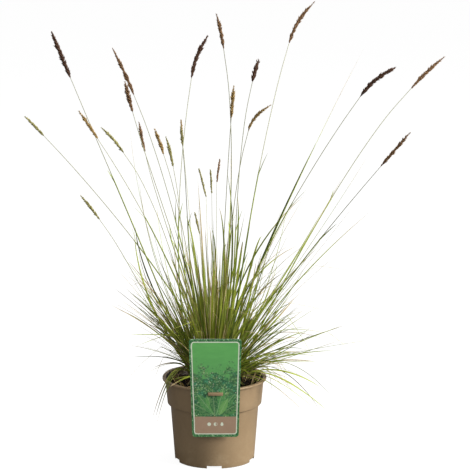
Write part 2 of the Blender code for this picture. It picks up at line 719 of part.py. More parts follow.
def main():
    clear_scene()
    chance = random.Random(SEED)
    root = bpy.data.objects.new("moor_grass", None)
    bpy.context.scene.collection.objects.link(root)
    pot = make_pot(root)
    soil = make_soil(root, chance)
    label = make_label(root)
    room = Room()
    for obj in (pot, label):
        room.take_object(obj)
    places = tuft_places()
    for number, (foot, _) in enumerate(places):
        reserve_tuft(number, foot, room)
    make_stems(root, chance, room)
    room.take_object(soil)
    leaves = find_leaves(places, chance, room)
    for number, (foot, _) in enumerate(places):
        make_tuft(number, foot, leaves, root)
    print("leaves:", sum(leaf is not None for leaf in leaves.values()))


main()
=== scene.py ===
import json
import math
import random

import bmesh
import bpy
from mathutils import Matrix, Vector, noise

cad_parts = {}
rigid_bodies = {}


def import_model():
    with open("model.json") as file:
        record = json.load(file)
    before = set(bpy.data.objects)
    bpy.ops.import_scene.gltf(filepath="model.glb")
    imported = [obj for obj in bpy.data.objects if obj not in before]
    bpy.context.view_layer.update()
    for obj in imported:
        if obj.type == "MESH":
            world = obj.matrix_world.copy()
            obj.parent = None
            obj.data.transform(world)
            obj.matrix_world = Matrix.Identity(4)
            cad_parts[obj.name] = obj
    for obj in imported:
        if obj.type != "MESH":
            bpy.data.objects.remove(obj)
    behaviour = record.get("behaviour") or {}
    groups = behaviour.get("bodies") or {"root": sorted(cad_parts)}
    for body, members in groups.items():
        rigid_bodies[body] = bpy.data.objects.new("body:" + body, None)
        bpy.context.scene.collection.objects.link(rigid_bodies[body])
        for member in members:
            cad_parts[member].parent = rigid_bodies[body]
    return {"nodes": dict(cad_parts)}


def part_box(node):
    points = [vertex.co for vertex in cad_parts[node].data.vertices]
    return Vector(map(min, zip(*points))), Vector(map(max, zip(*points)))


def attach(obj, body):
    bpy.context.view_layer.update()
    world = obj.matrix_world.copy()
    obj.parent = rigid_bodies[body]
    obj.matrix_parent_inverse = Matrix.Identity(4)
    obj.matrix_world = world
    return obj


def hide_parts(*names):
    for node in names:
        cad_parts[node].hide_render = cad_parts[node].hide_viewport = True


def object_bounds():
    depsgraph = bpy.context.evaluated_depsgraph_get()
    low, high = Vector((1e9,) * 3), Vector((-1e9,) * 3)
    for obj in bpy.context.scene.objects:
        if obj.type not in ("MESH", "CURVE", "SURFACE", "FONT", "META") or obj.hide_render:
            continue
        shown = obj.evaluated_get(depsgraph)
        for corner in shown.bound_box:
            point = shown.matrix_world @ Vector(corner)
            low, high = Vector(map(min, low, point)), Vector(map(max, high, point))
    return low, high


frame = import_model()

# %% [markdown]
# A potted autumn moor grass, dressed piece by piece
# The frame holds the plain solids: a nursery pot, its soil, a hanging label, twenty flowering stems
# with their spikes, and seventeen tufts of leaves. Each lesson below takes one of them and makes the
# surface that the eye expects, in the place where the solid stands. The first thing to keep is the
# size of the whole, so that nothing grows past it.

LOW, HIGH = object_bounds()
UP = Vector((0, 0, 1))
chance = random.Random(31)
print("solids reach from", [round(n, 3) for n in LOW], "to", [round(n, 3) for n in HIGH])

# %% [markdown]
# The camera
# A product picture of a tall plant is taken with a long lens from a little above, because a short
# lens would make the pot look like a funnel. Here the lens looks down by about twelve degrees, which
# shows the soil as a narrow ellipse behind the rim. The camera is aimed with a quaternion that turns
# its -Z axis along the line of sight, which needs no constraint.

# %% Camera
CAMERA_DISTANCE = 3.5
CAMERA_HEIGHT = 1.09
LOOK_AT = Vector((0.0337, 0.0, 0.3745))
LENS = 168.9

lens = bpy.data.cameras.new("long_lens")
lens.lens = LENS
camera = bpy.data.objects.new("camera", lens)
camera.location = (LOOK_AT.x, -CAMERA_DISTANCE, CAMERA_HEIGHT)
camera.rotation_mode = "QUATERNION"
camera.rotation_quaternion = (LOOK_AT - camera.location).to_track_quat("-Z", "Y")
bpy.context.collection.objects.link(camera)
bpy.context.scene.camera = camera
print("camera looks down by", round(math.degrees(math.atan2(CAMERA_HEIGHT - LOOK_AT.z, CAMERA_DISTANCE)), 1))

# %% [markdown]
# Shader nodes in few words
# Building a material by hand means many small nodes and links. Three helpers keep that readable: one
# adds a node and fills its sockets, with a value or with a link; one adds a Math node; one adds a
# colour Mix. Colours are written as the eye reads them on a screen, 0 to 255, and turned into the
# linear values that light is counted in.

# %% Helpers for materials
def paint(red, green, blue):
    """A screen colour as a linear one."""
    linear = []
    for part in (red, green, blue):
        share = part / 255
        linear.append(share / 12.92 if share <= 0.04045 else ((share + 0.055) / 1.055) ** 2.4)
    return (*linear, 1.0)


def node(tree, kind, sockets=None, **settings):
    made = tree.nodes.new("ShaderNode" + kind)
    for name, value in settings.items():
        setattr(made, name, value)
    for name, value in (sockets or {}).items():
        if isinstance(value, bpy.types.NodeSocket):
            tree.links.new(value, made.inputs[name])
        else:
            made.inputs[name].default_value = value
    return made


def sum_of(tree, operation, first, second=0.0, clamp=False):
    return node(tree, "Math", {0: first, 1: second}, operation=operation, use_clamp=clamp).outputs[0]


def blend(tree, share, first, second, way="MIX"):
    sockets = {"Factor": share, "A": first, "B": second}
    made = node(tree, "Mix", data_type="RGBA", blend_type=way, clamp_factor=True)
    colour_inputs = {"Factor": made.inputs[0], "A": made.inputs[6], "B": made.inputs[7]}
    for name, value in sockets.items():
        if isinstance(value, bpy.types.NodeSocket):
            tree.links.new(value, colour_inputs[name])
        else:
            colour_inputs[name].default_value = value
    return made.outputs[2]


def vector_of(tree, operation, first, second=None, length=False):
    sockets = {0: first} if second is None else {0: first, 1: second}
    made = node(tree, "VectorMath", sockets, operation=operation)
    return made.outputs["Value"] if length else made.outputs["Vector"]


def step_between(tree, value, low, high):
    """0 below low, 1 above high, and a smooth rise between them."""
    made = node(tree, "MapRange", {"Value": value, "From Min": low, "From Max": high},
                interpolation_type="SMOOTHSTEP")
    return made.outputs["Result"]


def read(tree, attribute):
    return node(tree, "Attribute", attribute_name=attribute).outputs["Fac"]


def new_material(name, roughness):
    made = bpy.data.materials.new(name)
    made.use_nodes = True
    shader = made.node_tree.nodes["Principled BSDF"]
    shader.inputs["Roughness"].default_value = roughness
    return made, made.node_tree, shader


# %% [markdown]
# Floor and light
# The plant stands on a plain white sweep. Soft light comes from large lamps, because the size of a
# lamp sets how soft its shadow is. The key lamp stands high at the right and gives the pot its bright
# side and its dark side. White surroundings would fill that dark side again, so the floor and the
# background are white where the camera sees them and grey where they only send light back: the Light
# Path node tells the two apart.

# %% Floor, background and lamps
FLOOR_RADIUS = 30.0
FLOOR_SEEN = 0.16
FLOOR_SENT = 0.14
FLOOR_GLOW = 0.93
SKY_SEEN = 1.0
SKY_SENT = 0.34

floor_mesh = bmesh.new()
bmesh.ops.create_circle(floor_mesh, cap_ends=True, segments=64, radius=FLOOR_RADIUS)
floor_data = bpy.data.meshes.new("floor")
floor_mesh.to_mesh(floor_data)
floor_mesh.free()
floor = bpy.data.objects.new("floor", floor_data)
bpy.context.collection.objects.link(floor)
floor_paint, tree, shader = new_material("floor_white", 0.9)
seen = node(tree, "LightPath").outputs["Is Camera Ray"]
floor_colour = blend(tree, seen, (FLOOR_SENT,) * 3 + (1,), (FLOOR_SEEN,) * 3 + (1,))
tree.links.new(floor_colour, shader.inputs["Base Color"])
shader.inputs["Specular IOR Level"].default_value = 0.0
shader.inputs["Emission Color"].default_value = (1, 1, 1, 1)
tree.links.new(sum_of(tree, "MULTIPLY", seen, FLOOR_GLOW), shader.inputs["Emission Strength"])
floor_data.materials.append(floor_paint)

world = bpy.data.worlds.new("white_room")
world.use_nodes = True
bpy.context.scene.world = world
tree = world.node_tree
background = tree.nodes["Background"]
seen = node(tree, "LightPath").outputs["Is Camera Ray"]
strength = sum_of(tree, "ADD", sum_of(tree, "MULTIPLY", seen, SKY_SEEN - SKY_SENT), SKY_SENT)
tree.links.new(strength, background.inputs["Strength"])
background.inputs["Color"].default_value = (1, 1, 1, 1)

# name, place, width of the lamp, power in watts
LAMPS = [
    ("key", (2.5, -0.9, 1.4), 1.3, 122),
    ("fill", (-0.4, -3.4, 1.5), 1.6, 11),
    ("top", (0.4, 0.3, 3.0), 2.4, 56),
]
for name, place, width, power in LAMPS:
    lamp_data = bpy.data.lights.new(name, "AREA")
    lamp_data.size = width
    lamp_data.energy = power
    lamp = bpy.data.objects.new(name, lamp_data)
    lamp.location = place
    lamp.rotation_mode = "QUATERNION"
    lamp.rotation_quaternion = (LOOK_AT - lamp.location).to_track_quat("-Z", "Y")
    bpy.context.collection.objects.link(lamp)
bpy.context.scene.view_settings.view_transform = "Standard"
print("lamps:", ", ".join(name for name, *_ in LAMPS))

# %% [markdown]
# Effects that several materials share
# Moulded plastic, potting mix, leaves and card all vary in colour from place to place, and all carry
# some fine relief. A node group holds such an effect once, with named sockets, and every material
# then sets its own values. "mottle" gives a soft mask at two sizes. "fine grain" gives a height for a
# Bump node. "dust" gives a mask that is strongest low down and in the hollows of a noise.

# %% Node groups: mottle, fine grain and dust
def new_group(name, inputs, outputs):
    group = bpy.data.node_groups.new(name, "ShaderNodeTree")
    for socket, kind, value in inputs:
        made = group.interface.new_socket(name=socket, in_out="INPUT", socket_type="NodeSocket" + kind)
        if value is not None:
            made.default_value = value
    for socket, kind in outputs:
        group.interface.new_socket(name=socket, in_out="OUTPUT", socket_type="NodeSocket" + kind)
    return group, group.nodes.new("NodeGroupInput"), group.nodes.new("NodeGroupOutput")


def placed(tree, group, **sockets):
    """A group node in a material; the names of its sockets are written with _ for a space."""
    made = tree.nodes.new("ShaderNodeGroup")
    made.node_tree = group
    for name, value in sockets.items():
        socket = made.inputs[name.replace("_", " ")]
        if isinstance(value, bpy.types.NodeSocket):
            tree.links.new(value, socket)
        else:
            socket.default_value = value
    return made


mottle, given, result = new_group(
    "mottle",
    [("Place", "Vector", None), ("Size", "Float", 40.0), ("Fine Size", "Float", 300.0),
     ("Contrast", "Float", 0.5)],
    [("Mask", "Float")])
wide = node(mottle, "TexNoise", {"Vector": given.outputs["Place"], "Scale": given.outputs["Size"],
                                 "Detail": 4.0, "Roughness": 0.6}).outputs["Fac"]
fine = node(mottle, "TexNoise", {"Vector": given.outputs["Place"], "Scale": given.outputs["Fine Size"],
                                 "Detail": 2.0}).outputs["Fac"]
both = sum_of(mottle, "ADD", sum_of(mottle, "MULTIPLY", wide, 0.7), sum_of(mottle, "MULTIPLY", fine, 0.3))
swing = sum_of(mottle, "MULTIPLY", sum_of(mottle, "SUBTRACT", both, 0.5), given.outputs["Contrast"])
mask = sum_of(mottle, "ADD", sum_of(mottle, "MULTIPLY", swing, 4.0), 0.5, clamp=True)
mottle.links.new(mask, result.inputs["Mask"])

fine_grain, given, result = new_group(
    "fine grain",
    [("Place", "Vector", None), ("Size", "Float", 900.0), ("Waviness", "Float", 0.3)],
    [("Height", "Float")])
pebble = node(fine_grain, "TexNoise", {"Vector": given.outputs["Place"], "Scale": given.outputs["Size"],
                                       "Detail": 2.0}).outputs["Fac"]
wave = node(fine_grain, "TexNoise", {"Vector": given.outputs["Place"], "Scale": 35.0,
                                     "Detail": 1.0}).outputs["Fac"]
height = sum_of(fine_grain, "ADD", pebble, sum_of(fine_grain, "MULTIPLY", wave, given.outputs["Waviness"]))
fine_grain.links.new(height, result.inputs["Height"])

dust, given, result = new_group(
    "dust",
    [("Place", "Vector", None), ("Highest", "Float", 0.05), ("Amount", "Float", 0.5)],
    [("Mask", "Float")])
level = node(dust, "SeparateXYZ", {"Vector": given.outputs["Place"]}).outputs["Z"]
low_down = sum_of(dust, "SUBTRACT", 1.0, step_between(dust, level, 0.0, given.outputs["Highest"]))
cloud = node(dust, "TexNoise", {"Vector": given.outputs["Place"], "Scale": 55.0, "Detail": 6.0,
                                "Roughness": 0.7}).outputs["Fac"]
patches = step_between(dust, cloud, 0.45, 0.75)
everywhere = sum_of(dust, "ADD", sum_of(dust, "MULTIPLY", low_down, 0.7), 0.25)
mask = sum_of(dust, "MULTIPLY", sum_of(dust, "MULTIPLY", everywhere, patches), given.outputs["Amount"])
dust.links.new(mask, result.inputs["Mask"])
print("groups:", [group.name for group in bpy.data.node_groups])

# %% [markdown]
# Turning a bmesh into a piece
# Every piece below ends the same way: its normals are turned outwards, it gets its finish, and the
# solids that it stands for are hidden. The object stays at the origin, unturned, so Object
# coordinates are real metres on the plant. Smooth shading with a sharp-angle limit keeps round parts
# round and edges crisp.

# %% Finishing a piece
def finish(bm, name, finish_material, stands_for=(), smooth=None):
    bmesh.ops.recalc_face_normals(bm, faces=bm.faces)
    mesh = bpy.data.meshes.new(name)
    bm.to_mesh(mesh)
    bm.free()
    mesh.materials.append(finish_material)
    if smooth is not None:
        mesh.shade_smooth()
        mesh.set_sharp_from_angle(angle=math.radians(smooth))
    piece = bpy.data.objects.new(name, mesh)
    bpy.context.collection.objects.link(piece)
    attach(piece, "root")
    if stands_for:
        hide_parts(*stands_for)
    return piece


# %% [markdown]
# Many small shapes in one piece
# A bmesh operator looks through the whole bmesh each time it is called, so the thousandth crumb in one
# bmesh takes a thousand times as long as the first. Each small shape is therefore made in a bmesh of
# its own and then poured into the big one through a spare mesh. Attributes travel along if both have
# layers of the same name.

# %% Pouring small shapes together
spare = bpy.data.meshes.new("spare")


def bmesh_with(*attributes):
    bm = bmesh.new()
    for name in attributes:
        bm.verts.layers.float.new(name)
    return bm


def pour(part, whole):
    part.to_mesh(spare)
    part.free()
    whole.from_mesh(spare)


def mark(verts, layer, value):
    for vert in verts:
        vert[layer] = value


# %% [markdown]
# The pot
# A nursery pot is blown or injection moulded from recycled plastic. It is round, so the lathe is the
# tool: a profile of radius and height, spun about Z. The lathe could also be a Screw modifier, but the
# spin operator gives the mesh at once, ready for a bevel. Its sizes come from the solid's box and from
# the parts that a caliper would measure. The edges of the profile are bevelled after the spin, so the
# rim rolls over softly.

# %% Pot sizes
_, pot_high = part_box("pot")
POT_HEIGHT = pot_high.z
SOLID_SIDES = 40
RIM_RADIUS = pot_high.x / math.cos(math.pi / SOLID_SIDES)
RIM_DEPTH = 0.0030
COLLAR_TOP = RIM_RADIUS - 0.0044
COLLAR_FOOT = RIM_RADIUS - 0.0082
COLLAR_FOOT_HEIGHT = 0.0950
STEP_DROP = 0.0020
WALL_TOP = RIM_RADIUS - 0.0130
WALL_FOOT = RIM_RADIUS - 0.0200
WALL = 0.0018
FOOT_RING_INSIDE = 0.0610
FLOOR_HEIGHT = 0.0050
FLOOR = 0.0020
PAD = 0.0140
DRAFT = 0.0010
WALL_RINGS = (0.08, 0.50)
COLLAR_RINGS = (0.30, 0.62)
SPIN_STEPS = 160
EDGE_ROUND = 0.0006


def rings_between(low, high, shares):
    """Points on the straight line from low to high, so that a cut near one end stays a small face."""
    return [tuple(Vector(low).lerp(Vector(high), share)) for share in shares]


wall_foot, wall_top = (WALL_FOOT, 0), (WALL_TOP, COLLAR_FOOT_HEIGHT - STEP_DROP)
collar_foot, collar_top = (COLLAR_FOOT, COLLAR_FOOT_HEIGHT), (COLLAR_TOP, POT_HEIGHT - RIM_DEPTH)
profile = [
    (0, 0), (PAD, 0), (PAD + DRAFT, FLOOR_HEIGHT), (FOOT_RING_INSIDE - DRAFT, FLOOR_HEIGHT),
    (FOOT_RING_INSIDE, 0),
    wall_foot, *rings_between(wall_foot, wall_top, WALL_RINGS), wall_top,
    collar_foot, *rings_between(collar_foot, collar_top, COLLAR_RINGS), collar_top,
    (RIM_RADIUS, POT_HEIGHT - RIM_DEPTH), (RIM_RADIUS, POT_HEIGHT),
    (COLLAR_TOP - WALL, POT_HEIGHT), (COLLAR_FOOT - WALL, COLLAR_FOOT_HEIGHT + WALL),
    (WALL_TOP - WALL, COLLAR_FOOT_HEIGHT - STEP_DROP), (WALL_FOOT - WALL, FLOOR_HEIGHT + FLOOR),
    (0, FLOOR_HEIGHT + FLOOR),
]
print("pot", round(2000 * RIM_RADIUS), "mm across its rim,", round(1000 * POT_HEIGHT), "mm high")

# %% Spinning and rounding the pot
def lathe(points, steps):
    bm = bmesh.new()
    verts = [bm.verts.new((radius, 0, height)) for radius, height in points]
    edges = [bm.edges.new(pair) for pair in zip(verts, verts[1:])]
    bmesh.ops.spin(bm, geom=verts + edges, cent=(0, 0, 0), axis=(0, 0, 1), angle=math.tau,
                   steps=steps, use_merge=True)
    bmesh.ops.remove_doubles(bm, verts=bm.verts, dist=1e-6)
    bmesh.ops.recalc_face_normals(bm, faces=bm.faces)
    return bm


pot = lathe(profile, SPIN_STEPS)
corners = [edge for edge in pot.edges if edge.calc_face_angle(0) > math.radians(20)
           and abs(edge.verts[0].co.z - edge.verts[1].co.z) < 1e-6]
bmesh.ops.bevel(pot, geom=corners, offset=EDGE_ROUND, offset_type="OFFSET", segments=3, profile=0.5,
                affect="EDGES", clamp_overlap=True, material=-1)
print("pot mesh:", len(pot.faces), "faces")

# %% [markdown]
# Notches, drain holes and the lug
# The foot ring is interrupted by five shallow notches that let water run out, the floor has drain
# holes, and a small lug under the rim carries the label. These are cuts and an addition that no
# profile can hold, so simple blocks and cylinders are subtracted and joined with Boolean modifiers.
# The result is baked into one mesh, and the helper blocks are thrown away.

# %% Cutting the pot
NOTCHES = 5
NOTCH = (0.0240, 0.0120, 0.0090)
DRAIN_HOLES = 5
DRAIN_CIRCLE = 0.0400
DRAIN_RADIUS = 0.0040
LUG = (0.0240, 0.0089, 0.0050)
LUG_MIDDLE = Vector((0.0022, -0.08375, 0.1317))
LUG_ROUND = 0.0006

cuts = bmesh.new()
for i in range(NOTCHES):
    place = Matrix.Rotation(i * math.tau / NOTCHES, 4, "Z")
    place @= Matrix.Translation((0, -FOOT_RING_INSIDE - DRAFT, 0)) @ Matrix.Diagonal((*NOTCH, 1))
    bmesh.ops.create_cube(cuts, size=1, matrix=place)
for i in range(DRAIN_HOLES):
    turn = (i + 0.25) * math.tau / DRAIN_HOLES
    place = Vector((DRAIN_CIRCLE * math.cos(turn), DRAIN_CIRCLE * math.sin(turn), FLOOR_HEIGHT + FLOOR / 2))
    bmesh.ops.create_cone(cuts, cap_ends=True, segments=24, radius1=DRAIN_RADIUS, radius2=DRAIN_RADIUS,
                          depth=3 * FLOOR, matrix=Matrix.Translation(place))
lug = bmesh.new()
bmesh.ops.create_cube(lug, size=1, matrix=Matrix.Translation(LUG_MIDDLE) @ Matrix.Diagonal((*LUG, 1)))
bmesh.ops.bevel(lug, geom=lug.edges[:], offset=LUG_ROUND, offset_type="OFFSET", segments=3, profile=0.5,
                affect="EDGES", clamp_overlap=True, material=-1)


def helper_object(bm, name):
    mesh = bpy.data.meshes.new(name)
    bm.to_mesh(mesh)
    bm.free()
    made = bpy.data.objects.new(name, mesh)
    bpy.context.collection.objects.link(made)
    return made


blank = helper_object(pot, "pot_blank")
tools = [(helper_object(cuts, "pot_cuts"), "DIFFERENCE"), (helper_object(lug, "pot_lug"), "UNION")]
for tool, operation in tools:
    modifier = blank.modifiers.new(tool.name, "BOOLEAN")
    modifier.object = tool
    modifier.operation = operation
cut_pot = bmesh.new()
cut_pot.from_object(blank, bpy.context.evaluated_depsgraph_get())
for helper in [blank, *[tool for tool, _ in tools]]:
    bpy.data.objects.remove(helper, do_unlink=True)
bmesh.ops.remove_doubles(cut_pot, verts=cut_pot.verts, dist=1e-6)
print("cut pot:", len(cut_pot.faces), "faces")

# %% [markdown]
# Pot plastic
# Recycled plastic is never one flat colour: it clouds softly, it is a little shinier where the mould
# was polished, and it carries dust and small splashes of peat near the rim and the foot. The colour
# sits in Base Color, the clouding and the dust come from the shared groups, and a very fine grain
# feeds the Bump node. Roughness rises where there is dust. Inside the rim the wall is darkened as
# painted shade: a point belongs to the inside if it lies nearer to the axis than the middle of the wall.

# %% Pot material
pot_plastic, tree, shader = new_material("taupe_plastic", 0.42)
place = node(tree, "TexCoord").outputs["Object"]
clouds = placed(tree, mottle, Place=place, Size=22.0, Fine_Size=260.0, Contrast=0.5).outputs["Mask"]
colour = blend(tree, clouds, paint(149, 125, 94), paint(163, 138, 105))
dusty = placed(tree, dust, Place=place, Highest=0.045, Amount=0.55).outputs["Mask"]
colour = blend(tree, dusty, colour, paint(186, 164, 130))
peat_noise = node(tree, "TexNoise", {"Vector": place, "Scale": 420.0, "Detail": 3.0}).outputs["Fac"]
above = node(tree, "SeparateXYZ", {"Vector": place}).outputs["Z"]
near_rim = step_between(tree, above, POT_HEIGHT - 0.020, POT_HEIGHT)
specks = sum_of(tree, "MULTIPLY", step_between(tree, peat_noise, 0.66, 0.72), near_rim)
colour = blend(tree, specks, colour, paint(60, 44, 32))
# Painted shade: inside the collar the wall is darkened towards near black, standing in for the shade of the
# rim and the leaves.
reach = vector_of(tree, "LENGTH", vector_of(tree, "MULTIPLY", place, (1, 1, 0)), length=True)
wall_middle = node(tree, "MapRange", {
    "Value": above, "From Min": COLLAR_FOOT_HEIGHT, "From Max": POT_HEIGHT,
    "To Min": COLLAR_FOOT - WALL / 2, "To Max": COLLAR_TOP - WALL / 2}).outputs["Result"]
outside = step_between(tree, sum_of(tree, "SUBTRACT", reach, wall_middle), -WALL / 4, WALL / 4)
in_collar = step_between(tree, above, COLLAR_FOOT_HEIGHT, COLLAR_FOOT_HEIGHT + WALL)
inside = sum_of(tree, "MULTIPLY", sum_of(tree, "SUBTRACT", 1.0, outside), in_collar)
painted_inner_shade = sum_of(tree, "MULTIPLY", inside, sum_of(tree, "ADD", sum_of(tree, "MULTIPLY", clouds, 0.35), 0.5))
colour = blend(tree, painted_inner_shade, colour, paint(44, 33, 22))
tree.links.new(colour, shader.inputs["Base Color"])
roughness = sum_of(tree, "ADD", sum_of(tree, "MULTIPLY", dusty, 0.3), 0.36)
roughness = sum_of(tree, "ADD", roughness, sum_of(tree, "MULTIPLY", clouds, 0.06))
tree.links.new(roughness, shader.inputs["Roughness"])
grain = placed(tree, fine_grain, Place=place, Size=1100.0, Waviness=1.2).outputs["Height"]
bump = node(tree, "Bump", {"Height": grain, "Strength": 0.12, "Distance": 0.0004})
tree.links.new(bump.outputs["Normal"], shader.inputs["Normal"])
finish(cut_pot, "spun_pot", pot_plastic, ["pot"], smooth=32)
print("pot finished")

# %% [markdown]
# Potting soil
# Peat mix has three sizes of shape: the lie of the surface, which falls a little towards the wall; the
# crumbs; and single bits of bark and straw. The lie is a lathe profile pushed up and down by a noise.
# The crumbs are small icospheres of twenty faces, squashed and turned at random and half sunk in the
# surface. A bump map alone would look flat from the side, and the mesh would be empty without them.

# %% The soil body
SOIL_CLEARANCE = 0.0003
SOIL_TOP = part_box("soil")[1].z
SOIL_STEPS = 120
CROWN_FLAT = 0.0440
SOIL_LUMPS = 0.0016
wall = WALL + SOIL_CLEARANCE
soil_profile = [
    (0, FLOOR_HEIGHT + FLOOR + SOIL_CLEARANCE),
    (WALL_FOOT - wall - DRAFT, FLOOR_HEIGHT + FLOOR + SOIL_CLEARANCE),
    (WALL_FOOT - wall, FLOOR_HEIGHT + FLOOR + DRAFT),
    (WALL_TOP - wall, COLLAR_FOOT_HEIGHT - STEP_DROP),
    (COLLAR_FOOT - wall, COLLAR_FOOT_HEIGHT + WALL + SOIL_CLEARANCE),
    (0.0775, 0.1238),
]


def soil_height(radius):
    """The open surface: flat under the crown, then falling towards the wall."""
    fall = max(0.0, min(1.0, (radius - CROWN_FLAT) / (0.0775 - CROWN_FLAT)))
    return 0.1280 - 0.0042 * (1 - (1 - fall) ** 2)


SOIL_RINGS = 30
for i in range(1, SOIL_RINGS + 1):
    radius = 0.0775 * (1 - i / SOIL_RINGS)
    soil_profile.append((radius, soil_height(radius)))


def soil_lump(x, y):
    wide_lump = noise.noise(Vector((x, y, 0.3)) * 90)
    small_lump = noise.noise(Vector((x, y, 0.7)) * 300)
    return SOIL_LUMPS * (0.7 * wide_lump + 0.3 * small_lump)


soil = lathe(soil_profile, SOIL_STEPS)
for vert in soil.verts:
    reach = vert.co.xy.length
    if vert.co.z > 0.1225 and reach < 0.0770:
        vert.co.z += soil_lump(vert.co.x, vert.co.y)
print("soil body:", len(soil.faces), "faces, highest point", round(SOIL_TOP, 4))

# %% The crumbs, the bark and the straw
CRUMBS = 2600
BARK_CHIPS = 70
STRAWS = 60


def random_turn():
    axis = Vector((chance.uniform(-1, 1), chance.uniform(-1, 1), chance.uniform(-1, 1)))
    return Matrix.Rotation(chance.uniform(0, math.tau), 4, axis.normalized())


def on_soil(widest):
    radius = widest * math.sqrt(chance.random())
    turn = chance.uniform(0, math.tau)
    x, y = radius * math.cos(turn), radius * math.sin(turn)
    return Vector((x, y, soil_height(radius) + soil_lump(x, y)))


def any_way(size):
    return Vector((chance.uniform(-1, 1), chance.uniform(-1, 1), chance.uniform(-1, 1))) * size


def add_crumb(whole):
    part = bmesh_with("tone")
    size = chance.choice((0.0005, 0.0007, 0.0009, 0.0013, 0.0018))
    shape = Matrix.Diagonal((chance.uniform(0.7, 1.3), chance.uniform(0.7, 1.3), chance.uniform(0.5, 1.0), 1))
    matrix = Matrix.Translation(on_soil(0.0765)) @ random_turn() @ Matrix.Scale(size, 4) @ shape
    bmesh.ops.create_icosphere(part, subdivisions=1, radius=1, matrix=matrix)
    mark(part.verts, part.verts.layers.float["tone"], chance.random() ** 2)
    pour(part, whole)


def add_bark(whole):
    part = bmesh_with("tone")
    turn = Matrix.Rotation(chance.uniform(0, math.tau), 4, "Z")
    tilt = Matrix.Rotation(chance.uniform(-0.5, 0.5), 4, "X")
    tilt @= Matrix.Rotation(chance.uniform(-0.4, 0.4), 4, "Y")
    shape = Matrix.Diagonal((chance.uniform(0.003, 0.008), chance.uniform(0.002, 0.004), 0.0011, 1))
    matrix = Matrix.Translation(on_soil(0.0740) + UP * 0.0006) @ turn @ tilt @ shape
    bmesh.ops.create_cube(part, size=1, matrix=matrix)
    for vert in part.verts:
        vert.co += any_way(0.0006)
    mark(part.verts, part.verts.layers.float["tone"], chance.uniform(0.55, 1.0))
    pour(part, whole)


def add_straw(whole):
    part = bmesh_with("tone")
    turn = Matrix.Rotation(chance.uniform(0, math.tau), 4, "Z")
    tilt = Matrix.Rotation(math.pi / 2 + chance.uniform(-0.12, 0.12), 4, "X")
    bmesh.ops.create_cone(part, cap_ends=True, segments=5, radius1=chance.uniform(0.0002, 0.0005),
                          radius2=0.0002, depth=chance.uniform(0.005, 0.013),
                          matrix=Matrix.Translation(on_soil(0.0740) + UP * 0.0010) @ turn @ tilt)
    mark(part.verts, part.verts.layers.float["tone"], chance.uniform(1.3, 2.0))
    pour(part, whole)


crumbs = bmesh_with("tone")
for count, add in ((CRUMBS, add_crumb), (BARK_CHIPS, add_bark), (STRAWS, add_straw)):
    for _ in range(count):
        add(crumbs)
print("crumbs, bark and straw:", len(crumbs.faces), "faces")

# %% [markdown]
# Soil finish
# Moist peat is nearly black and quite rough, with brown fibres in it. One material serves the body and
# the crumbs: on the crumbs an attribute called tone says how pale a bit is, from black crumb to brown
# bark to straw, and on the body that attribute is missing and reads as zero.

# %% Soil material
soil_mix, tree, shader = new_material("moist_peat", 0.93)
place = node(tree, "TexCoord").outputs["Object"]
pale = read(tree, "tone")
patch = placed(tree, mottle, Place=place, Size=160.0, Fine_Size=900.0, Contrast=0.9).outputs["Mask"]
colour = blend(tree, patch, paint(15, 12, 8), paint(32, 24, 17))
colour = blend(tree, step_between(tree, pale, 0.30, 1.0), colour, paint(84, 60, 40))
colour = blend(tree, step_between(tree, pale, 1.1, 1.8), colour, paint(186, 158, 116))
tree.links.new(colour, shader.inputs["Base Color"])
shader.inputs["Specular IOR Level"].default_value = 0.25
grain = placed(tree, fine_grain, Place=place, Size=1500.0, Waviness=0.5).outputs["Height"]
bump = node(tree, "Bump", {"Height": grain, "Strength": 0.7, "Distance": 0.0010})
tree.links.new(bump.outputs["Normal"], shader.inputs["Normal"])
finish(soil, "potting_soil", soil_mix, ["soil"], smooth=50)
finish(crumbs, "soil_crumbs", soil_mix)
print("soil finished")

# %% [markdown]
# The label
# The label is a thin plastic card with rounded corners, a little narrower at its foot, hung by a slot
# on the pot's lug so that it leans outwards. Four corner points and a vertex bevel give the outline,
# and a second small loop gives the slot; triangle_fill closes the flat between them and one extrusion
# gives the thickness. While it is still flat, its own UV map is written in metres, straightened to a
# rectangle, so that the print follows the tapering sides.

# %% Label shape
LABEL_MIDDLE_X = 0.0022
LABEL_LEAN = math.radians(7)
LABEL_HANG = Vector((LABEL_MIDDLE_X, -RIM_RADIUS - 0.0003, 0.1352))
LABEL_TOP, LABEL_FOOT = 0.0910, -0.0783
HALF_TOP, HALF_FOOT = 0.0421, 0.0373
HALF_MEAN = (HALF_TOP + HALF_FOOT) / 2
CARD = 0.0006
CARD_CORNER = 0.0050
SLOT_HALF = 0.0124
SLOT_TOP, SLOT_FOOT = -0.0006, -0.0064
SLOT_CORNER = 0.0008


def rounded_loop(bm, corners, radius, segments):
    """A closed flat loop of edges whose corners are turned into arcs."""
    before = set(bm.verts)
    face = bm.faces.new([bm.verts.new((x, -CARD, z)) for x, z in corners])
    bmesh.ops.bevel(bm, geom=face.verts[:], offset=radius, offset_type="OFFSET", segments=segments,
                    profile=0.5, affect="VERTICES", clamp_overlap=True, material=-1)
    loop = [vert for vert in bm.verts if vert not in before]
    faces = {face for vert in loop for face in vert.link_faces}
    bmesh.ops.delete(bm, geom=list(faces), context="FACES_ONLY")
    return loop


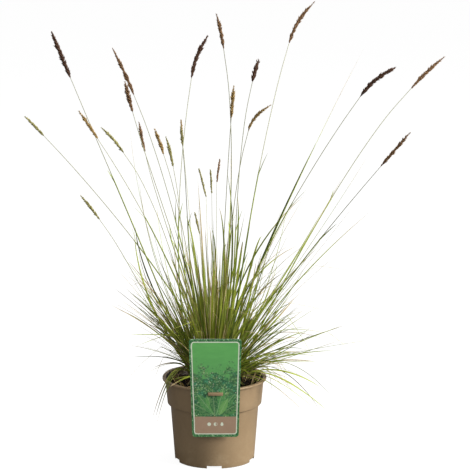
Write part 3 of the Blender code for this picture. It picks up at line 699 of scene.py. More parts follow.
label = bmesh.new()
rounded_loop(label, [(HALF_TOP, LABEL_TOP), (-HALF_TOP, LABEL_TOP), (-HALF_FOOT, LABEL_FOOT),
                     (HALF_FOOT, LABEL_FOOT)], CARD_CORNER, 10)
rounded_loop(label, [(SLOT_HALF, SLOT_TOP), (-SLOT_HALF, SLOT_TOP), (-SLOT_HALF, SLOT_FOOT),
                     (SLOT_HALF, SLOT_FOOT)], SLOT_CORNER, 4)
front = bmesh.ops.triangle_fill(label, edges=label.edges[:], use_beauty=True)["geom"]
faces = [part for part in front if isinstance(part, bmesh.types.BMFace)]
back = bmesh.ops.extrude_face_region(label, geom=faces, use_keep_orig=True)["geom"]
moved = [part for part in back if isinstance(part, bmesh.types.BMVert)]
bmesh.ops.translate(label, verts=moved, vec=(0, CARD, 0))
bmesh.ops.recalc_face_normals(label, faces=label.faces)

card_map = label.loops.layers.uv.new("card")
for face in label.faces:
    for corner in face.loops:
        x, z = corner.vert.co.x, corner.vert.co.z
        half = HALF_FOOT + (HALF_TOP - HALF_FOOT) * (z - LABEL_FOOT) / (LABEL_TOP - LABEL_FOOT)
        corner[card_map].uv = (x * HALF_MEAN / half, z)
side = label.verts.layers.float.new("print_side")
for vert in label.verts:
    vert[side] = 1.0 if vert.co.y < -CARD / 2 else 0.0
lean = Matrix.Translation(LABEL_HANG) @ Matrix.Rotation(LABEL_LEAN, 4, "X")
bmesh.ops.transform(label, matrix=lean, verts=label.verts)
print("label", round(2000 * HALF_TOP), "mm wide and", round(1000 * (LABEL_TOP - LABEL_FOOT)), "mm long")

# %% [markdown]
# Printed shapes without a picture
# A printed card can be drawn with arithmetic: a shape is a distance from its outline, and a smooth
# step turns the distance into ink. The groups below give the shapes of this design: a frame with round
# corners, a broad leaf made where two circles cross, a disc, and a mass of small leaves made of
# Voronoi cells, each with a tone of its own and a bright heart. Each takes its place and size from
# named sockets, so one group draws all the leaves of the printed plant.

# %% Node groups: frame, leaf, disc and small leaves
frame_shape, given, result = new_group(
    "frame shape",
    [("Place", "Vector", None), ("Middle", "Vector", None), ("Half Size", "Vector", None),
     ("Corner", "Float", 0.004), ("Half Line", "Float", 0.0008)],
    [("Line", "Float"), ("Inside", "Float")])
away = vector_of(frame_shape, "ABSOLUTE", vector_of(frame_shape, "SUBTRACT", given.outputs["Place"],
                                                    given.outputs["Middle"]))
corner = node(frame_shape, "CombineXYZ", {0: given.outputs["Corner"], 1: given.outputs["Corner"]}).outputs[0]
inner = vector_of(frame_shape, "SUBTRACT", given.outputs["Half Size"], corner)
past = vector_of(frame_shape, "MAXIMUM", vector_of(frame_shape, "SUBTRACT", away, inner), (0, 0, -1))
flat = vector_of(frame_shape, "MULTIPLY", past, (1, 1, 0))
distance = sum_of(frame_shape, "SUBTRACT", vector_of(frame_shape, "LENGTH", flat, length=True),
                  given.outputs["Corner"])
off_line = sum_of(frame_shape, "SUBTRACT", sum_of(frame_shape, "ABSOLUTE", distance),
                  given.outputs["Half Line"])
line = sum_of(frame_shape, "SUBTRACT", 1.0, step_between(frame_shape, off_line, -0.00012, 0.00012))
frame_shape.links.new(line, result.inputs["Line"])
inside = sum_of(frame_shape, "SUBTRACT", 1.0, step_between(frame_shape, distance, -0.0001, 0.0001))
frame_shape.links.new(inside, result.inputs["Inside"])

leaf_shape, given, result = new_group(
    "leaf shape",
    [("Place", "Vector", None), ("Foot", "Vector", None), ("Turn", "Float", 0.0), ("Length", "Float", 0.03),
     ("Roundness", "Float", 0.5)],
    [("Leaf", "Float"), ("Rib", "Float")])
from_foot = vector_of(leaf_shape, "SUBTRACT", given.outputs["Place"], given.outputs["Foot"])
turned = node(leaf_shape, "VectorRotate", {"Vector": from_foot, "Angle": given.outputs["Turn"]},
              rotation_type="Z_AXIS").outputs["Vector"]
split = node(leaf_shape, "SeparateXYZ", {"Vector": turned})
along = sum_of(leaf_shape, "DIVIDE", split.outputs["Y"], given.outputs["Length"])
aside = sum_of(leaf_shape, "DIVIDE", split.outputs["X"], given.outputs["Length"])
aside = sum_of(leaf_shape, "ABSOLUTE", aside)
arch = sum_of(leaf_shape, "MULTIPLY", sum_of(leaf_shape, "MULTIPLY", along, 4.0),
              sum_of(leaf_shape, "SUBTRACT", 1.0, along))
edge = sum_of(leaf_shape, "MULTIPLY", sum_of(leaf_shape, "MULTIPLY", arch, 0.5), given.outputs["Roundness"])
leaf_ink = step_between(leaf_shape, sum_of(leaf_shape, "SUBTRACT", edge, aside), 0.0, 0.02)
leaf_shape.links.new(leaf_ink, result.inputs["Leaf"])
rib = sum_of(leaf_shape, "SUBTRACT", 1.0, step_between(leaf_shape, aside, 0.006, 0.016))
leaf_shape.links.new(sum_of(leaf_shape, "MULTIPLY", rib, leaf_ink), result.inputs["Rib"])

disc_shape, given, result = new_group(
    "disc shape",
    [("Place", "Vector", None), ("Middle", "Vector", None), ("Radius", "Float", 0.003)],
    [("Disc", "Float")])
reach = vector_of(disc_shape, "LENGTH", vector_of(disc_shape, "SUBTRACT", given.outputs["Place"],
                                                  given.outputs["Middle"]), length=True)
past = sum_of(disc_shape, "SUBTRACT", reach, given.outputs["Radius"])
disc = sum_of(disc_shape, "SUBTRACT", 1.0, step_between(disc_shape, past, -0.0001, 0.0001))
disc_shape.links.new(disc, result.inputs["Disc"])

small_leaves, given, result = new_group(
    "small leaves",
    [("Place", "Vector", None), ("Size", "Float", 300.0)],
    [("Tone", "Float"), ("Heart", "Float")])
cells = node(small_leaves, "TexVoronoi", {"Vector": given.outputs["Place"], "Scale": given.outputs["Size"]})
tone = node(small_leaves, "SeparateXYZ", {"Vector": cells.outputs["Color"]}).outputs["X"]
small_leaves.links.new(tone, result.inputs["Tone"])
off_heart = step_between(small_leaves, cells.outputs["Distance"], 0.20, 0.55)
heart = sum_of(small_leaves, "SUBTRACT", 1.0, off_heart)
small_leaves.links.new(heart, result.inputs["Heart"])
print("print groups ready")

# %% [markdown]
# The print
# The card gets a generic garden design in the usual colours of such labels: a speckled dark green
# border, a pale frame line, a soft green field, and below it a hedge of small bluish leaves with pale
# blossoms, in front of which a clump of broad leaves stands. A rose-brown band at the foot carries
# plain care signs: a sun, a half shaded sun and a drop. There is no lettering. The ink is glossy and
# lies flat, so no bump is used.

# %% Label material: border, field and hedge
FRAME_MIDDLE = (0.0, 0.0063, 0.0)
FRAME_HALF = (0.0358, 0.0793, 0.0)
BAND_TOP = -0.0430
PALE = paint(236, 244, 220)

label_card, tree, shader = new_material("printed_card", 0.30)
card = node(tree, "UVMap", uv_map="card").outputs["UV"]
spot = node(tree, "SeparateXYZ", {"Vector": card})
grass_like = node(tree, "Mapping", {"Vector": card, "Scale": (1.0, 0.55, 1.0)}).outputs["Vector"]
border_cells = placed(tree, small_leaves, Place=grass_like, Size=760.0)
border = blend(tree, border_cells.outputs["Tone"], paint(40, 96, 58), paint(100, 160, 100))
speck = step_between(tree, border_cells.outputs["Tone"], 0.66, 0.82)
speck = sum_of(tree, "MULTIPLY", speck, border_cells.outputs["Heart"])
border = blend(tree, speck, border, paint(190, 226, 176))

up_the_card = step_between(tree, spot.outputs["Y"], 0.010, 0.085)
field = blend(tree, up_the_card, paint(108, 178, 104), paint(114, 194, 106))
wide = node(tree, "Mapping", {"Vector": card, "Scale": (0.35, 1.0, 1.0)}).outputs["Vector"]
soft = placed(tree, mottle, Place=wide, Size=70.0, Fine_Size=240.0, Contrast=0.7).outputs["Mask"]
field = blend(tree, sum_of(tree, "MULTIPLY", soft, 0.40), field, paint(84, 162, 86))

edge_noise = placed(tree, mottle, Place=card, Size=60.0, Fine_Size=300.0, Contrast=1.0).outputs["Mask"]
hedge_line = sum_of(tree, "SUBTRACT", spot.outputs["Y"], sum_of(tree, "MULTIPLY", edge_noise, 0.040))
hedge = sum_of(tree, "SUBTRACT", 1.0, step_between(tree, hedge_line, 0.008, 0.022))
leaves = placed(tree, small_leaves, Place=card, Size=330.0)
fine_leaves = placed(tree, small_leaves, Place=card, Size=640.0)
patches = placed(tree, mottle, Place=card, Size=75.0, Fine_Size=200.0, Contrast=1.1).outputs["Mask"]
hedge_colour = blend(tree, leaves.outputs["Tone"], paint(34, 104, 78), paint(96, 190, 146))
leafy_green = blend(tree, fine_leaves.outputs["Tone"], paint(62, 122, 66), paint(176, 218, 138))
hedge_colour = blend(tree, patches, hedge_colour, leafy_green)
gap = sum_of(tree, "MULTIPLY", sum_of(tree, "SUBTRACT", 1.0, leaves.outputs["Heart"]), 0.65)
hedge_colour = blend(tree, gap, hedge_colour, paint(28, 66, 42))
in_bloom = step_between(tree, fine_leaves.outputs["Tone"], 0.84, 0.88)
blossom = sum_of(tree, "MULTIPLY", in_bloom, fine_leaves.outputs["Heart"])
hedge_colour = blend(tree, sum_of(tree, "MULTIPLY", blossom, 0.8), hedge_colour, paint(232, 230, 204))
print_colour = blend(tree, sum_of(tree, "MULTIPLY", hedge, 0.92), field, hedge_colour)
print("border, field and hedge ready")

# %% Label material: broad leaves and band
# foot of the leaf on the card, turn in degrees, length, roundness, colour
PRINTED_LEAVES = [
    ((-0.012, -0.041), 62, 0.026, 0.46, (40, 104, 62)),
    ((0.013, -0.041), -58, 0.025, 0.44, (58, 128, 70)),
    ((-0.004, -0.040), 58, 0.036, 0.40, (34, 98, 62)),
    ((0.004, -0.040), -60, 0.038, 0.38, (28, 86, 56)),
    ((-0.003, -0.040), 36, 0.046, 0.34, (62, 134, 74)),
    ((0.003, -0.040), -38, 0.048, 0.36, (48, 118, 68)),
    ((0.000, -0.041), 22, 0.040, 0.32, (92, 158, 84)),
    ((0.001, -0.041), -14, 0.052, 0.32, (74, 144, 80)),
    ((-0.001, -0.041), 5, 0.047, 0.30, (36, 96, 62)),
    ((0.006, -0.041), -26, 0.034, 0.34, (112, 172, 92)),
]
RIB_INK = 0.35
for (foot_x, foot_y), turn, length, roundness, ink in PRINTED_LEAVES:
    leaf = placed(tree, leaf_shape, Place=card, Foot=(foot_x, foot_y, 0), Turn=math.radians(-turn),
                  Length=length, Roundness=roundness)
    leaf_tone = sum_of(tree, "MULTIPLY", fine_leaves.outputs["Tone"], 0.55)
    leaf_colour = blend(tree, leaf_tone, paint(*ink), paint(140, 190, 118))
    print_colour = blend(tree, leaf.outputs["Leaf"], print_colour, leaf_colour)
    rib_ink = sum_of(tree, "MULTIPLY", leaf.outputs["Rib"], RIB_INK)
    print_colour = blend(tree, rib_ink, print_colour, paint(190, 216, 170))

in_band = sum_of(tree, "SUBTRACT", 1.0, step_between(tree, spot.outputs["Y"], BAND_TOP, BAND_TOP + 0.0003))
band_tone = placed(tree, mottle, Place=card, Size=60.0, Fine_Size=500.0, Contrast=0.4).outputs["Mask"]
band = blend(tree, band_tone, paint(172, 142, 118), paint(186, 156, 130))
print_colour = blend(tree, in_band, print_colour, band)
print("leaves printed:", len(PRINTED_LEAVES))

# %% Care signs, frame and the card's back
SIGN_LINE = -0.0560
SIGN_RADIUS = 0.0031
SIGN_STEP = 0.0110
signs = []
for i, kind in enumerate(("sun", "half sun", "drop")):
    middle = ((i - 1) * SIGN_STEP, SIGN_LINE, 0)
    whole = placed(tree, disc_shape, Place=card, Middle=middle, Radius=SIGN_RADIUS).outputs["Disc"]
    if kind == "half sun":
        hole = placed(tree, disc_shape, Place=card, Middle=middle,
                      Radius=SIGN_RADIUS - 0.0005).outputs["Disc"]
        right = step_between(tree, spot.outputs["X"], middle[0], middle[0] + 0.0002)
        whole = sum_of(tree, "SUBTRACT", whole, sum_of(tree, "MULTIPLY", hole, right), clamp=True)
    if kind == "drop":
        whole = placed(tree, disc_shape, Place=card, Middle=(middle[0], middle[1] - 0.0006, 0),
                       Radius=SIGN_RADIUS - 0.0006).outputs["Disc"]
        point = placed(tree, leaf_shape, Place=card, Foot=(middle[0], middle[1] - 0.0031, 0), Length=0.0071,
                       Roundness=0.60).outputs["Leaf"]
        whole = sum_of(tree, "MAXIMUM", whole, point)
    signs.append(whole)
signs_ink = sum_of(tree, "MAXIMUM", sum_of(tree, "MAXIMUM", signs[0], signs[1]), signs[2])
print_colour = blend(tree, signs_ink, print_colour, PALE)

edge_line = placed(tree, frame_shape, Place=card, Middle=FRAME_MIDDLE, Half_Size=FRAME_HALF, Corner=0.0042,
                   Half_Line=0.0008)
print_colour = blend(tree, edge_line.outputs["Inside"], border, print_colour)
print_colour = blend(tree, edge_line.outputs["Line"], print_colour, PALE)
on_print = step_between(tree, read(tree, "print_side"), 0.4, 0.9)
colour = blend(tree, on_print, paint(232, 232, 226), print_colour)
tree.links.new(colour, shader.inputs["Base Color"])
finish(label, "printed_label", label_card, ["label"], smooth=40)
print("signs:", len(signs))

# %% [markdown]
# Reading the lines of stems, spikes and leaves
# The solids of the plant are thin rods made of rings of corners. Their middle lines are what the fine
# pieces need, so they are read from the solid: a copy of its mesh is merged, and the rings are walked
# one after another, each ring being the neighbours of the last. That way no route is written twice,
# and the fine piece can't stray from the solid that it stands for.

# %% Walking the rings
def merged_copy(name):
    bm = bmesh.new()
    bm.from_mesh(frame["nodes"][name].data)
    bmesh.ops.remove_doubles(bm, verts=bm.verts, dist=1e-6)
    return bm


def walk(start, count):
    """Rings of `count` corners each, one beyond the other, from a first ring or a tip."""
    seen = set(start)
    rings = [list(start)]
    while True:
        beyond = {edge.other_vert(vert) for vert in rings[-1] for edge in vert.link_edges} - seen
        if len(beyond) != count:
            return [[vert.co.copy() for vert in ring] for ring in rings]
        seen |= beyond
        rings.append(list(beyond))


def centre(points):
    return sum(points, Vector()) / len(points)


def smooth_line(points, pieces):
    """Even steps along a Catmull-Rom curve through some points."""
    ends = [points[0] * 2 - points[1], *points, points[-1] * 2 - points[-2]]
    line = []
    for i in range(pieces + 1):
        t = i / pieces * (len(points) - 1)
        k = min(int(t), len(points) - 2)
        t -= k
        a, b, c, d = ends[k:k + 4]
        line.append((b * 2 + (c - a) * t + (a * 2 - b * 5 + c * 4 - d) * t ** 2
                     + (b * 3 - a - c * 3 + d) * t ** 3) / 2)
    return line


stem_names = sorted(name for name in frame["nodes"] if name.startswith("stem_"))
spike_names = sorted(name for name in frame["nodes"] if name.startswith("flower_spike_"))
tuft_names = sorted(name for name in frame["nodes"] if name.startswith("leaf_tuft_"))

stem_lines = {}
for name in stem_names:
    solid = merged_copy(name)
    top = sorted(solid.verts, key=lambda vert: -vert.co.z)[:3]
    stem_lines[name] = [centre(ring) for ring in reversed(walk(top, 3))]
    solid.free()

spike_lines = {}
for name in spike_names:
    solid = merged_copy(name)
    for vert in solid.verts:
        if len(vert.link_edges) == 6:
            rings = walk([vert], 6)
            if len(rings) > 3:
                rings.reverse()
                middles = [centre(ring) for ring in rings]
                radii = [max((point - middle).length for point in ring)
                         for ring, middle in zip(rings, middles)]
                spike_lines[name] = (middles, radii)
    solid.free()
print(len(stem_lines), "stems and", len(spike_lines), "spikes read")

# %% [markdown]
# Growing a rod along a line
# A stem, a blade of grass and a sheath are all one thing to a modeller: a small outline that is
# extruded from point to point, growing or shrinking on the way. The outline starts as a circle or as
# a few corners, extrude_discrete_faces carries it on, and each new ring is set square to the line.
# Attributes written on the way, such as how far along a point lies, later steer the colour.

# %% Growing
def ring_at(line, index, side, outline, half_width, half_depth):
    last = len(line) - 1
    ahead = (line[min(index + 1, last)] - line[max(index - 1, 0)]).normalized()
    across = (side - ahead * side.dot(ahead)).normalized()
    face = ahead.cross(across)
    return [line[index] + across * a * half_width + face * b * half_depth for a, b in outline]


def grow(whole, rings, marks, tip=None, corner_marks=None):
    """Extrude a ring through the others. marks has a value for each ring, corner_marks for each corner."""
    part = bmesh_with(*marks, *(corner_marks or {}))
    layers = part.verts.layers.float
    face = part.faces.new([part.verts.new(place) for place in rings[0]])
    face.copy(verts=False, edges=False)
    for i, ring in enumerate(rings):
        if i > 0:
            face = bmesh.ops.extrude_discrete_faces(part, faces=[face])["faces"][0]
        for corner, (vert, place) in enumerate(zip(face.verts, ring)):
            vert.co = place
            for name, values in marks.items():
                vert[layers[name]] = values[i]
            for name, values in (corner_marks or {}).items():
                vert[layers[name]] = values[corner]
    if tip is not None:
        bmesh.ops.pointmerge(part, verts=face.verts[:], merge_co=tip)
    pour(part, whole)


def round_outline(sides):
    return [(math.cos(i * math.tau / sides), math.sin(i * math.tau / sides)) for i in range(sides)]


# %% [markdown]
# Flowering stems
# A culm of this grass is wrapped in its leaf sheath for the lower half or two thirds: that part is
# thicker and green. Above it the bare culm is thin, greyish green, and paler towards the spike. So the
# radius steps down where the sheath ends, and a short flag leaf leaves the stem there. Each stem is one
# rod of eight sides.

# %% Stem finish
stem_green, tree, shader = new_material("culm_green", 0.55)
place = node(tree, "TexCoord").outputs["Object"]
far = read(tree, "along")
bare = read(tree, "bare")
own = read(tree, "tone")
streak = placed(tree, mottle, Place=place, Size=60.0, Fine_Size=800.0, Contrast=0.6).outputs["Mask"]
sheath_colour = blend(tree, streak, paint(104, 122, 40), paint(174, 184, 84))
sheath_colour = blend(tree, step_between(tree, far, 0.10, 0.0), sheath_colour, paint(120, 96, 52))
bare_colour = blend(tree, own, paint(120, 122, 84), paint(184, 184, 142))
colour = blend(tree, bare, sheath_colour, bare_colour)
tree.links.new(colour, shader.inputs["Base Color"])
grain = placed(tree, fine_grain, Place=place, Size=1800.0, Waviness=0.2).outputs["Height"]
bump = node(tree, "Bump", {"Height": grain, "Strength": 0.25, "Distance": 0.0003})
tree.links.new(bump.outputs["Normal"], shader.inputs["Normal"])
print("stem finish ready")

# %% Growing the stems
STEM_SIDES = 8
STEM_PIECES = 40
SHEATH_FOOT_RADIUS = 0.00125
SHEATH_END_RADIUS = 0.00095
BARE_RADIUS = 0.00060
NECK_RADIUS = 0.00044
FLAG_PIECES = 10
BLADE_OUTLINE = [(-1, 0.25), (0, -0.75), (1, 0.25), (0, 0.45)]


STEM_MARKS = ("along", "bare", "tone")


def grow_stem(bm, line, thin=1.0):
    sheath_end = chance.uniform(0.48, 0.68)
    own_tone = chance.random()
    rings, far, bare_share = [], [], []
    for i in range(STEM_PIECES + 1):
        t = i / STEM_PIECES
        if t < sheath_end:
            radius = SHEATH_FOOT_RADIUS + (SHEATH_END_RADIUS - SHEATH_FOOT_RADIUS) * t / sheath_end
        else:
            radius = BARE_RADIUS + (NECK_RADIUS - BARE_RADIUS) * (t - sheath_end) / (1 - sheath_end)
        rings.append(ring_at(line, i, Vector((1, 0, 0)), round_outline(STEM_SIDES), radius * thin,
                             radius * thin))
        far.append(t)
        bare_share.append(0.0 if t < sheath_end else 1.0)
    grow(bm, rings, {"along": far, "bare": bare_share, "tone": [own_tone] * len(far)})
    return int(sheath_end * STEM_PIECES)


def grow_flag(bm, line, joint, thin=1.0):
    """The short blade where the sheath ends."""
    start = line[joint]
    onward = (line[joint + 1] - line[joint - 1]).normalized()
    turn = chance.uniform(0, math.tau)
    out = Vector((math.cos(turn), math.sin(turn), 0))
    length = chance.uniform(0.018, 0.045) * thin
    tip = start + onward * length * 0.93 + out * length * 0.30
    middle = start.lerp(tip, 0.5) + onward * length * 0.06
    flag = smooth_line([start, middle, tip], FLAG_PIECES)
    side = onward.cross(out)
    rings = []
    for i in range(FLAG_PIECES):
        width = 0.0013 * thin * (1 - i / FLAG_PIECES) ** 0.7
        rings.append(ring_at(flag, i, side, BLADE_OUTLINE, width, 0.0003))
    marks = {"along": [0.5] * FLAG_PIECES, "bare": [0.0] * FLAG_PIECES, "tone": [0.5] * FLAG_PIECES}
    grow(bm, rings, marks, tip)


for name in stem_names:
    bm = bmesh_with(*STEM_MARKS)
    line = smooth_line(stem_lines[name], STEM_PIECES)
    joint = grow_stem(bm, line)
    grow_flag(bm, line, joint)
    finish(bm, name.replace("stem", "culm"), stem_green, [name], smooth=70)
print("stems grown:", len(stem_names))

# %% [markdown]
# Flower spikes
# A spike is a dense spiral of spikelets, each a closed little pouch of papery scales with a sharp
# point. One spikelet is a sphere of five by four segments, drawn out to a point and pressed against the
# axis; about a hundred of them wind up the spike at the golden angle, which is how most plants pack
# their seeds without gaps. They sit on a knobby core coloured dark as painted shade, so no daylight
# shows between them and the gaps read as shade. A noise swells and narrows the core along its length,
# because a ripe spike is lumpy and never a clean cone.
# Ripe spikes are dark brown, younger ones tan or greenish.

# %% Spike finishes
def spike_finish(name, dark, light, edge):
    made, tree, shader = new_material(name, 0.85)
    shader.inputs["Specular IOR Level"].default_value = 0.2
    place = node(tree, "TexCoord").outputs["Object"]
    own = read(tree, "tone")
    far = read(tree, "along")
    speckle = placed(tree, mottle, Place=place, Size=500.0, Fine_Size=2200.0, Contrast=0.9).outputs["Mask"]
    share = sum_of(tree, "ADD", sum_of(tree, "MULTIPLY", own, 0.65), sum_of(tree, "MULTIPLY", speckle, 0.35))
    colour = blend(tree, share, paint(*dark), paint(*light))
    near_tip = sum_of(tree, "MULTIPLY", step_between(tree, far, 0.55, 1.0), 0.7)
    colour = blend(tree, near_tip, colour, paint(*edge))
    tree.links.new(colour, shader.inputs["Base Color"])
    grain = placed(tree, fine_grain, Place=place, Size=2600.0, Waviness=0.1).outputs["Height"]
    bump = node(tree, "Bump", {"Height": grain, "Strength": 0.4, "Distance": 0.0003})
    tree.links.new(bump.outputs["Normal"], shader.inputs["Normal"])
    return made


SPIKE_FINISHES = {
    "dark": spike_finish("ripe_dark_spike", (56, 38, 30), (108, 78, 60), (134, 104, 80)),
    "brown": spike_finish("ripe_brown_spike", (78, 56, 40), (154, 118, 84), (184, 152, 114)),
    "tan": spike_finish("tan_spike", (110, 86, 46), (196, 164, 104), (214, 186, 132)),
    "olive": spike_finish("young_olive_spike", (104, 102, 58), (176, 170, 110), (196, 184, 132)),
}

# Finish of each spike in the order of the solids.
SPIKE_LOOKS = ["dark", "olive", "tan", "olive", "olive", "brown", "brown", "brown", "tan", "olive",
               "olive", "dark", "brown", "tan", "dark", "brown", "tan", "dark", "brown", "brown"]
print("spike finishes:", list(SPIKE_FINISHES))

# %% Winding the spikelets
GOLDEN_ANGLE = math.pi * (3 - math.sqrt(5))
SPIKELET_STEP = 0.00056
SPIKELET_LENGTH = 0.0032
SPIKELET_WIDTH = 0.0013
CORE_STEP = 0.0022
CORE_SHARE = 0.70
KNOB_LENGTH = 0.0050
KNOB_SWELL = 0.55
BLUNT_SHARE = 0.80


def add_spikelet(whole, foot, way, length, width, tone_value):
    part = bmesh_with("along", "tone")
    along = part.verts.layers.float["along"]
    bmesh.ops.create_uvsphere(part, u_segments=5, v_segments=4, radius=1)
    for vert in part.verts:
        far = (vert.co.z + 1) / 2
        narrow = 1.15 - 0.75 * far
        vert.co.x *= width * narrow
        vert.co.y *= width * narrow * 0.8
        vert.co.z = length * (far + (0.35 if far > 0.99 else 0.0))
        vert[along] = far
    mark(part.verts, part.verts.layers.float["tone"], tone_value)
    turn = way.to_track_quat("Z", "Y").to_matrix().to_4x4()
    bmesh.ops.transform(part, matrix=Matrix.Translation(foot) @ turn, verts=part.verts)
    pour(part, whole)


def spike_reach(t, radii, length, shift, blunt):
    """Half the spike's width at a share t of its length, with the knobs that a noise gives it."""
    place = t * (len(radii) - 1)
    k = min(int(place), len(radii) - 2)
    plain = radii[k] + (radii[k + 1] - radii[k]) * (place - k)
    if blunt and t > 0.4:
        plain = max(plain, BLUNT_SHARE * max(radii) * min(1, (1 - t) / 0.06))
    return plain * (1 + KNOB_SWELL * noise.noise(Vector((t * length / KNOB_LENGTH, shift, 0))))


def wind_spike(bm, middles, radii, blunt=False):
    length = sum((b - a).length for a, b in zip(middles, middles[1:]))
    shift = chance.uniform(0, 100)
    count = int(length / SPIKELET_STEP)
    line = smooth_line(middles, count)
    for i in range(count):
        t = i / count
        reach = spike_reach(t, radii, length, shift, blunt)
        onward = (line[min(i + 1, count)] - line[max(i - 1, 0)]).normalized()
        side = onward.orthogonal().normalized()
        out = Matrix.Rotation(i * GOLDEN_ANGLE, 3, onward) @ side
        if t < 0.12 and chance.random() < 0.45:
            continue
        size = chance.uniform(0.8, 1.25) * min(1.0, 0.55 + reach / 0.0034)
        way = (onward + out * chance.uniform(0.25, 0.75)).normalized()
        foot = line[i] + out * max(0.0002, reach - SPIKELET_WIDTH * 1.1) * chance.uniform(0.7, 1.1)
        add_spikelet(bm, foot, way, SPIKELET_LENGTH * size, SPIKELET_WIDTH * size, chance.random())
    pieces = max(6, int(length / CORE_STEP))
    axis = smooth_line(middles, pieces)
    rings = []
    for i in range(pieces):
        core = max(NECK_RADIUS, CORE_SHARE * spike_reach(i / pieces, radii, length, shift, blunt))
        rings.append(ring_at(axis, i, Vector((1, 0, 0)), round_outline(6), core, core))
    # The core's low tone of 0.15 colours it dark: painted shade between the spikelets.
    grow(bm, rings, {"along": [0.1] * pieces, "tone": [0.15] * pieces}, axis[pieces])
    return count


spikelets = 0
for name, look in zip(spike_names, SPIKE_LOOKS):
    bm = bmesh_with("along", "tone")
    spikelets += wind_spike(bm, *spike_lines[name], blunt=look == "dark")
    finish(bm, name.replace("flower_spike", "spikelets"), SPIKE_FINISHES[look], [name], smooth=60)
print("spikelets:", spikelets)

# %% [markdown]
# Faint stems
# Five more stems in the picture are so thin that they are modelled only here, among the others. Their
# feet stand on the crown like the rest, and their necks and tips are given as points in metres.

# %% Growing the faint stems
# neck, tip, look
FAINT_STEMS = [
    ((-0.054, 0.160, 0.500), (-0.057, 0.170, 0.537), "tan"),
    ((-0.015, 0.150, 0.409), (-0.027, 0.162, 0.455), "olive"),
    ((-0.003, -0.074, 0.457), (-0.005, -0.080, 0.495), "olive"),
    ((0.003, 0.160, 0.433), (0.008, 0.172, 0.469), "brown"),
    ((-0.026, 0.139, 0.348), (-0.034, 0.150, 0.382), "olive"),
]
FAINT = 0.7
faint_radii = [0.0007, 0.0013, 0.0014, 0.0012, 0.0010, 0.0004]
faint = bmesh_with(*STEM_MARKS)
faint_spikes = {}
for neck, tip, look in FAINT_STEMS:
    neck, tip = Vector(neck), Vector(tip)
    foot = Vector((neck.x * 0.15, neck.y * 0.15, 0.1283))
    middle = foot.lerp(neck, 0.5) + Vector((neck.x * 0.05, -neck.y * 0.08, 0))
    line = smooth_line([foot, middle, neck], STEM_PIECES)
    grow_stem(faint, line, FAINT)
    bm = bmesh_with("along", "tone")
    middles = smooth_line([neck, neck.lerp(tip, 0.5) + (neck - middle).normalized() * 0.001, tip], 5)
    wind_spike(bm, middles, faint_radii)
    number = len(spike_names) + len(faint_spikes) + 1
    faint_spikes[number] = finish(bm, f"spikelets_{number:02d}", SPIKE_FINISHES[look], smooth=60)
finish(faint, "faint_culms", stem_green, smooth=70)
print("faint stems:", len(faint_spikes))

# %% [markdown]
# Leaf finish
# A blade of moor grass is folded along its middle and finely ribbed. It is dark and brownish in its
# sheath, olive to yellow green along the blade, and it dries to straw from the tip. Three attributes
# steer that: along runs from foot to tip, across runs over the width and gives the ribs, and age says
# how dry a blade is, from 0 for a fresh one to 1 for straw. A second tone separates light blades from
# dark ones. A little subsurface light makes the thin blades glow where the lamp is behind them.

# %% Leaf material
leaf_green, tree, shader = new_material("grass_blade", 0.48)
place = node(tree, "TexCoord").outputs["Object"]
far, over, age, own = (read(tree, name) for name in ("along", "across", "age", "tone"))
patch = placed(tree, mottle, Place=place, Size=70.0, Fine_Size=600.0, Contrast=0.7).outputs["Mask"]
fresh = blend(tree, own, paint(50, 66, 14), paint(186, 196, 70))
fresh = blend(tree, sum_of(tree, "MULTIPLY", patch, 0.35), fresh, paint(118, 136, 50))
near_foot = sum_of(tree, "MULTIPLY", step_between(tree, far, 0.22, 0.0), 0.75)
fresh = blend(tree, near_foot, fresh, paint(66, 62, 26))
straw = blend(tree, patch, paint(150, 124, 78), paint(206, 188, 142))
dry_from = sum_of(tree, "SUBTRACT", 1.02, sum_of(tree, "MULTIPLY", age, 1.10))
dry = step_between(tree, sum_of(tree, "SUBTRACT", far, dry_from), -0.04, 0.08)
colour = blend(tree, dry, fresh, straw)
rib = sum_of(tree, "ABSOLUTE", over)
middle_rib = sum_of(tree, "SUBTRACT", 1.0, step_between(tree, rib, 0.0, 0.22))
colour = blend(tree, sum_of(tree, "MULTIPLY", middle_rib, 0.25), colour, paint(176, 190, 110))
tree.links.new(colour, shader.inputs["Base Color"])
tree.links.new(sum_of(tree, "ADD", sum_of(tree, "MULTIPLY", dry, 0.25), 0.46), shader.inputs["Roughness"])
ribs = sum_of(tree, "SINE", sum_of(tree, "MULTIPLY", over, 22.0))
bump = node(tree, "Bump", {"Height": ribs, "Strength": 0.25, "Distance": 0.0002})
tree.links.new(bump.outputs["Normal"], shader.inputs["Normal"])
shader.inputs["Specular IOR Level"].default_value = 0.35
shader.inputs["Subsurface Weight"].default_value = 0.15
shader.inputs["Subsurface Radius"].default_value = (0.4, 0.6, 0.15)
shader.inputs["Subsurface Scale"].default_value = 0.002
print("leaf finish ready")

# %% [markdown]
# Growing the tufts
# Each tuft of the frame holds up to eight blades, enough for its shape but not for its fullness. The
# fine tuft has one blade on the line of each of them and several sisters beside it, which start from
# the same sheath, lean a little to one side and are shorter or thinner. A sister that would cut
# through the pot's rim or hang before the label is drawn again. Old papery sheaths stand round the
# foot.

# %% Blade lines and where they may go
BLADE_PIECES = 18
SISTERS = 4
RIM_AIR = 0.0030
LABEL_AIR = 0.0060


def blade_lines(name):
    """Start, middle and tip of every blade of a tuft's solid, and the tuft's foot."""
    solid = merged_copy(name)
    found = []
    for vert in solid.verts:
        if len(vert.link_edges) == 3:
            rings = walk([vert], 3)
            if len(rings) == 7:
                found.append((centre(rings[6]), centre(rings[3]), rings[0][0]))
    low = [vert.co for vert in solid.verts if vert.co.z < SOIL_TOP + 0.002]
    foot = centre([Vector(place) for place in low])
    solid.free()
    return found, foot


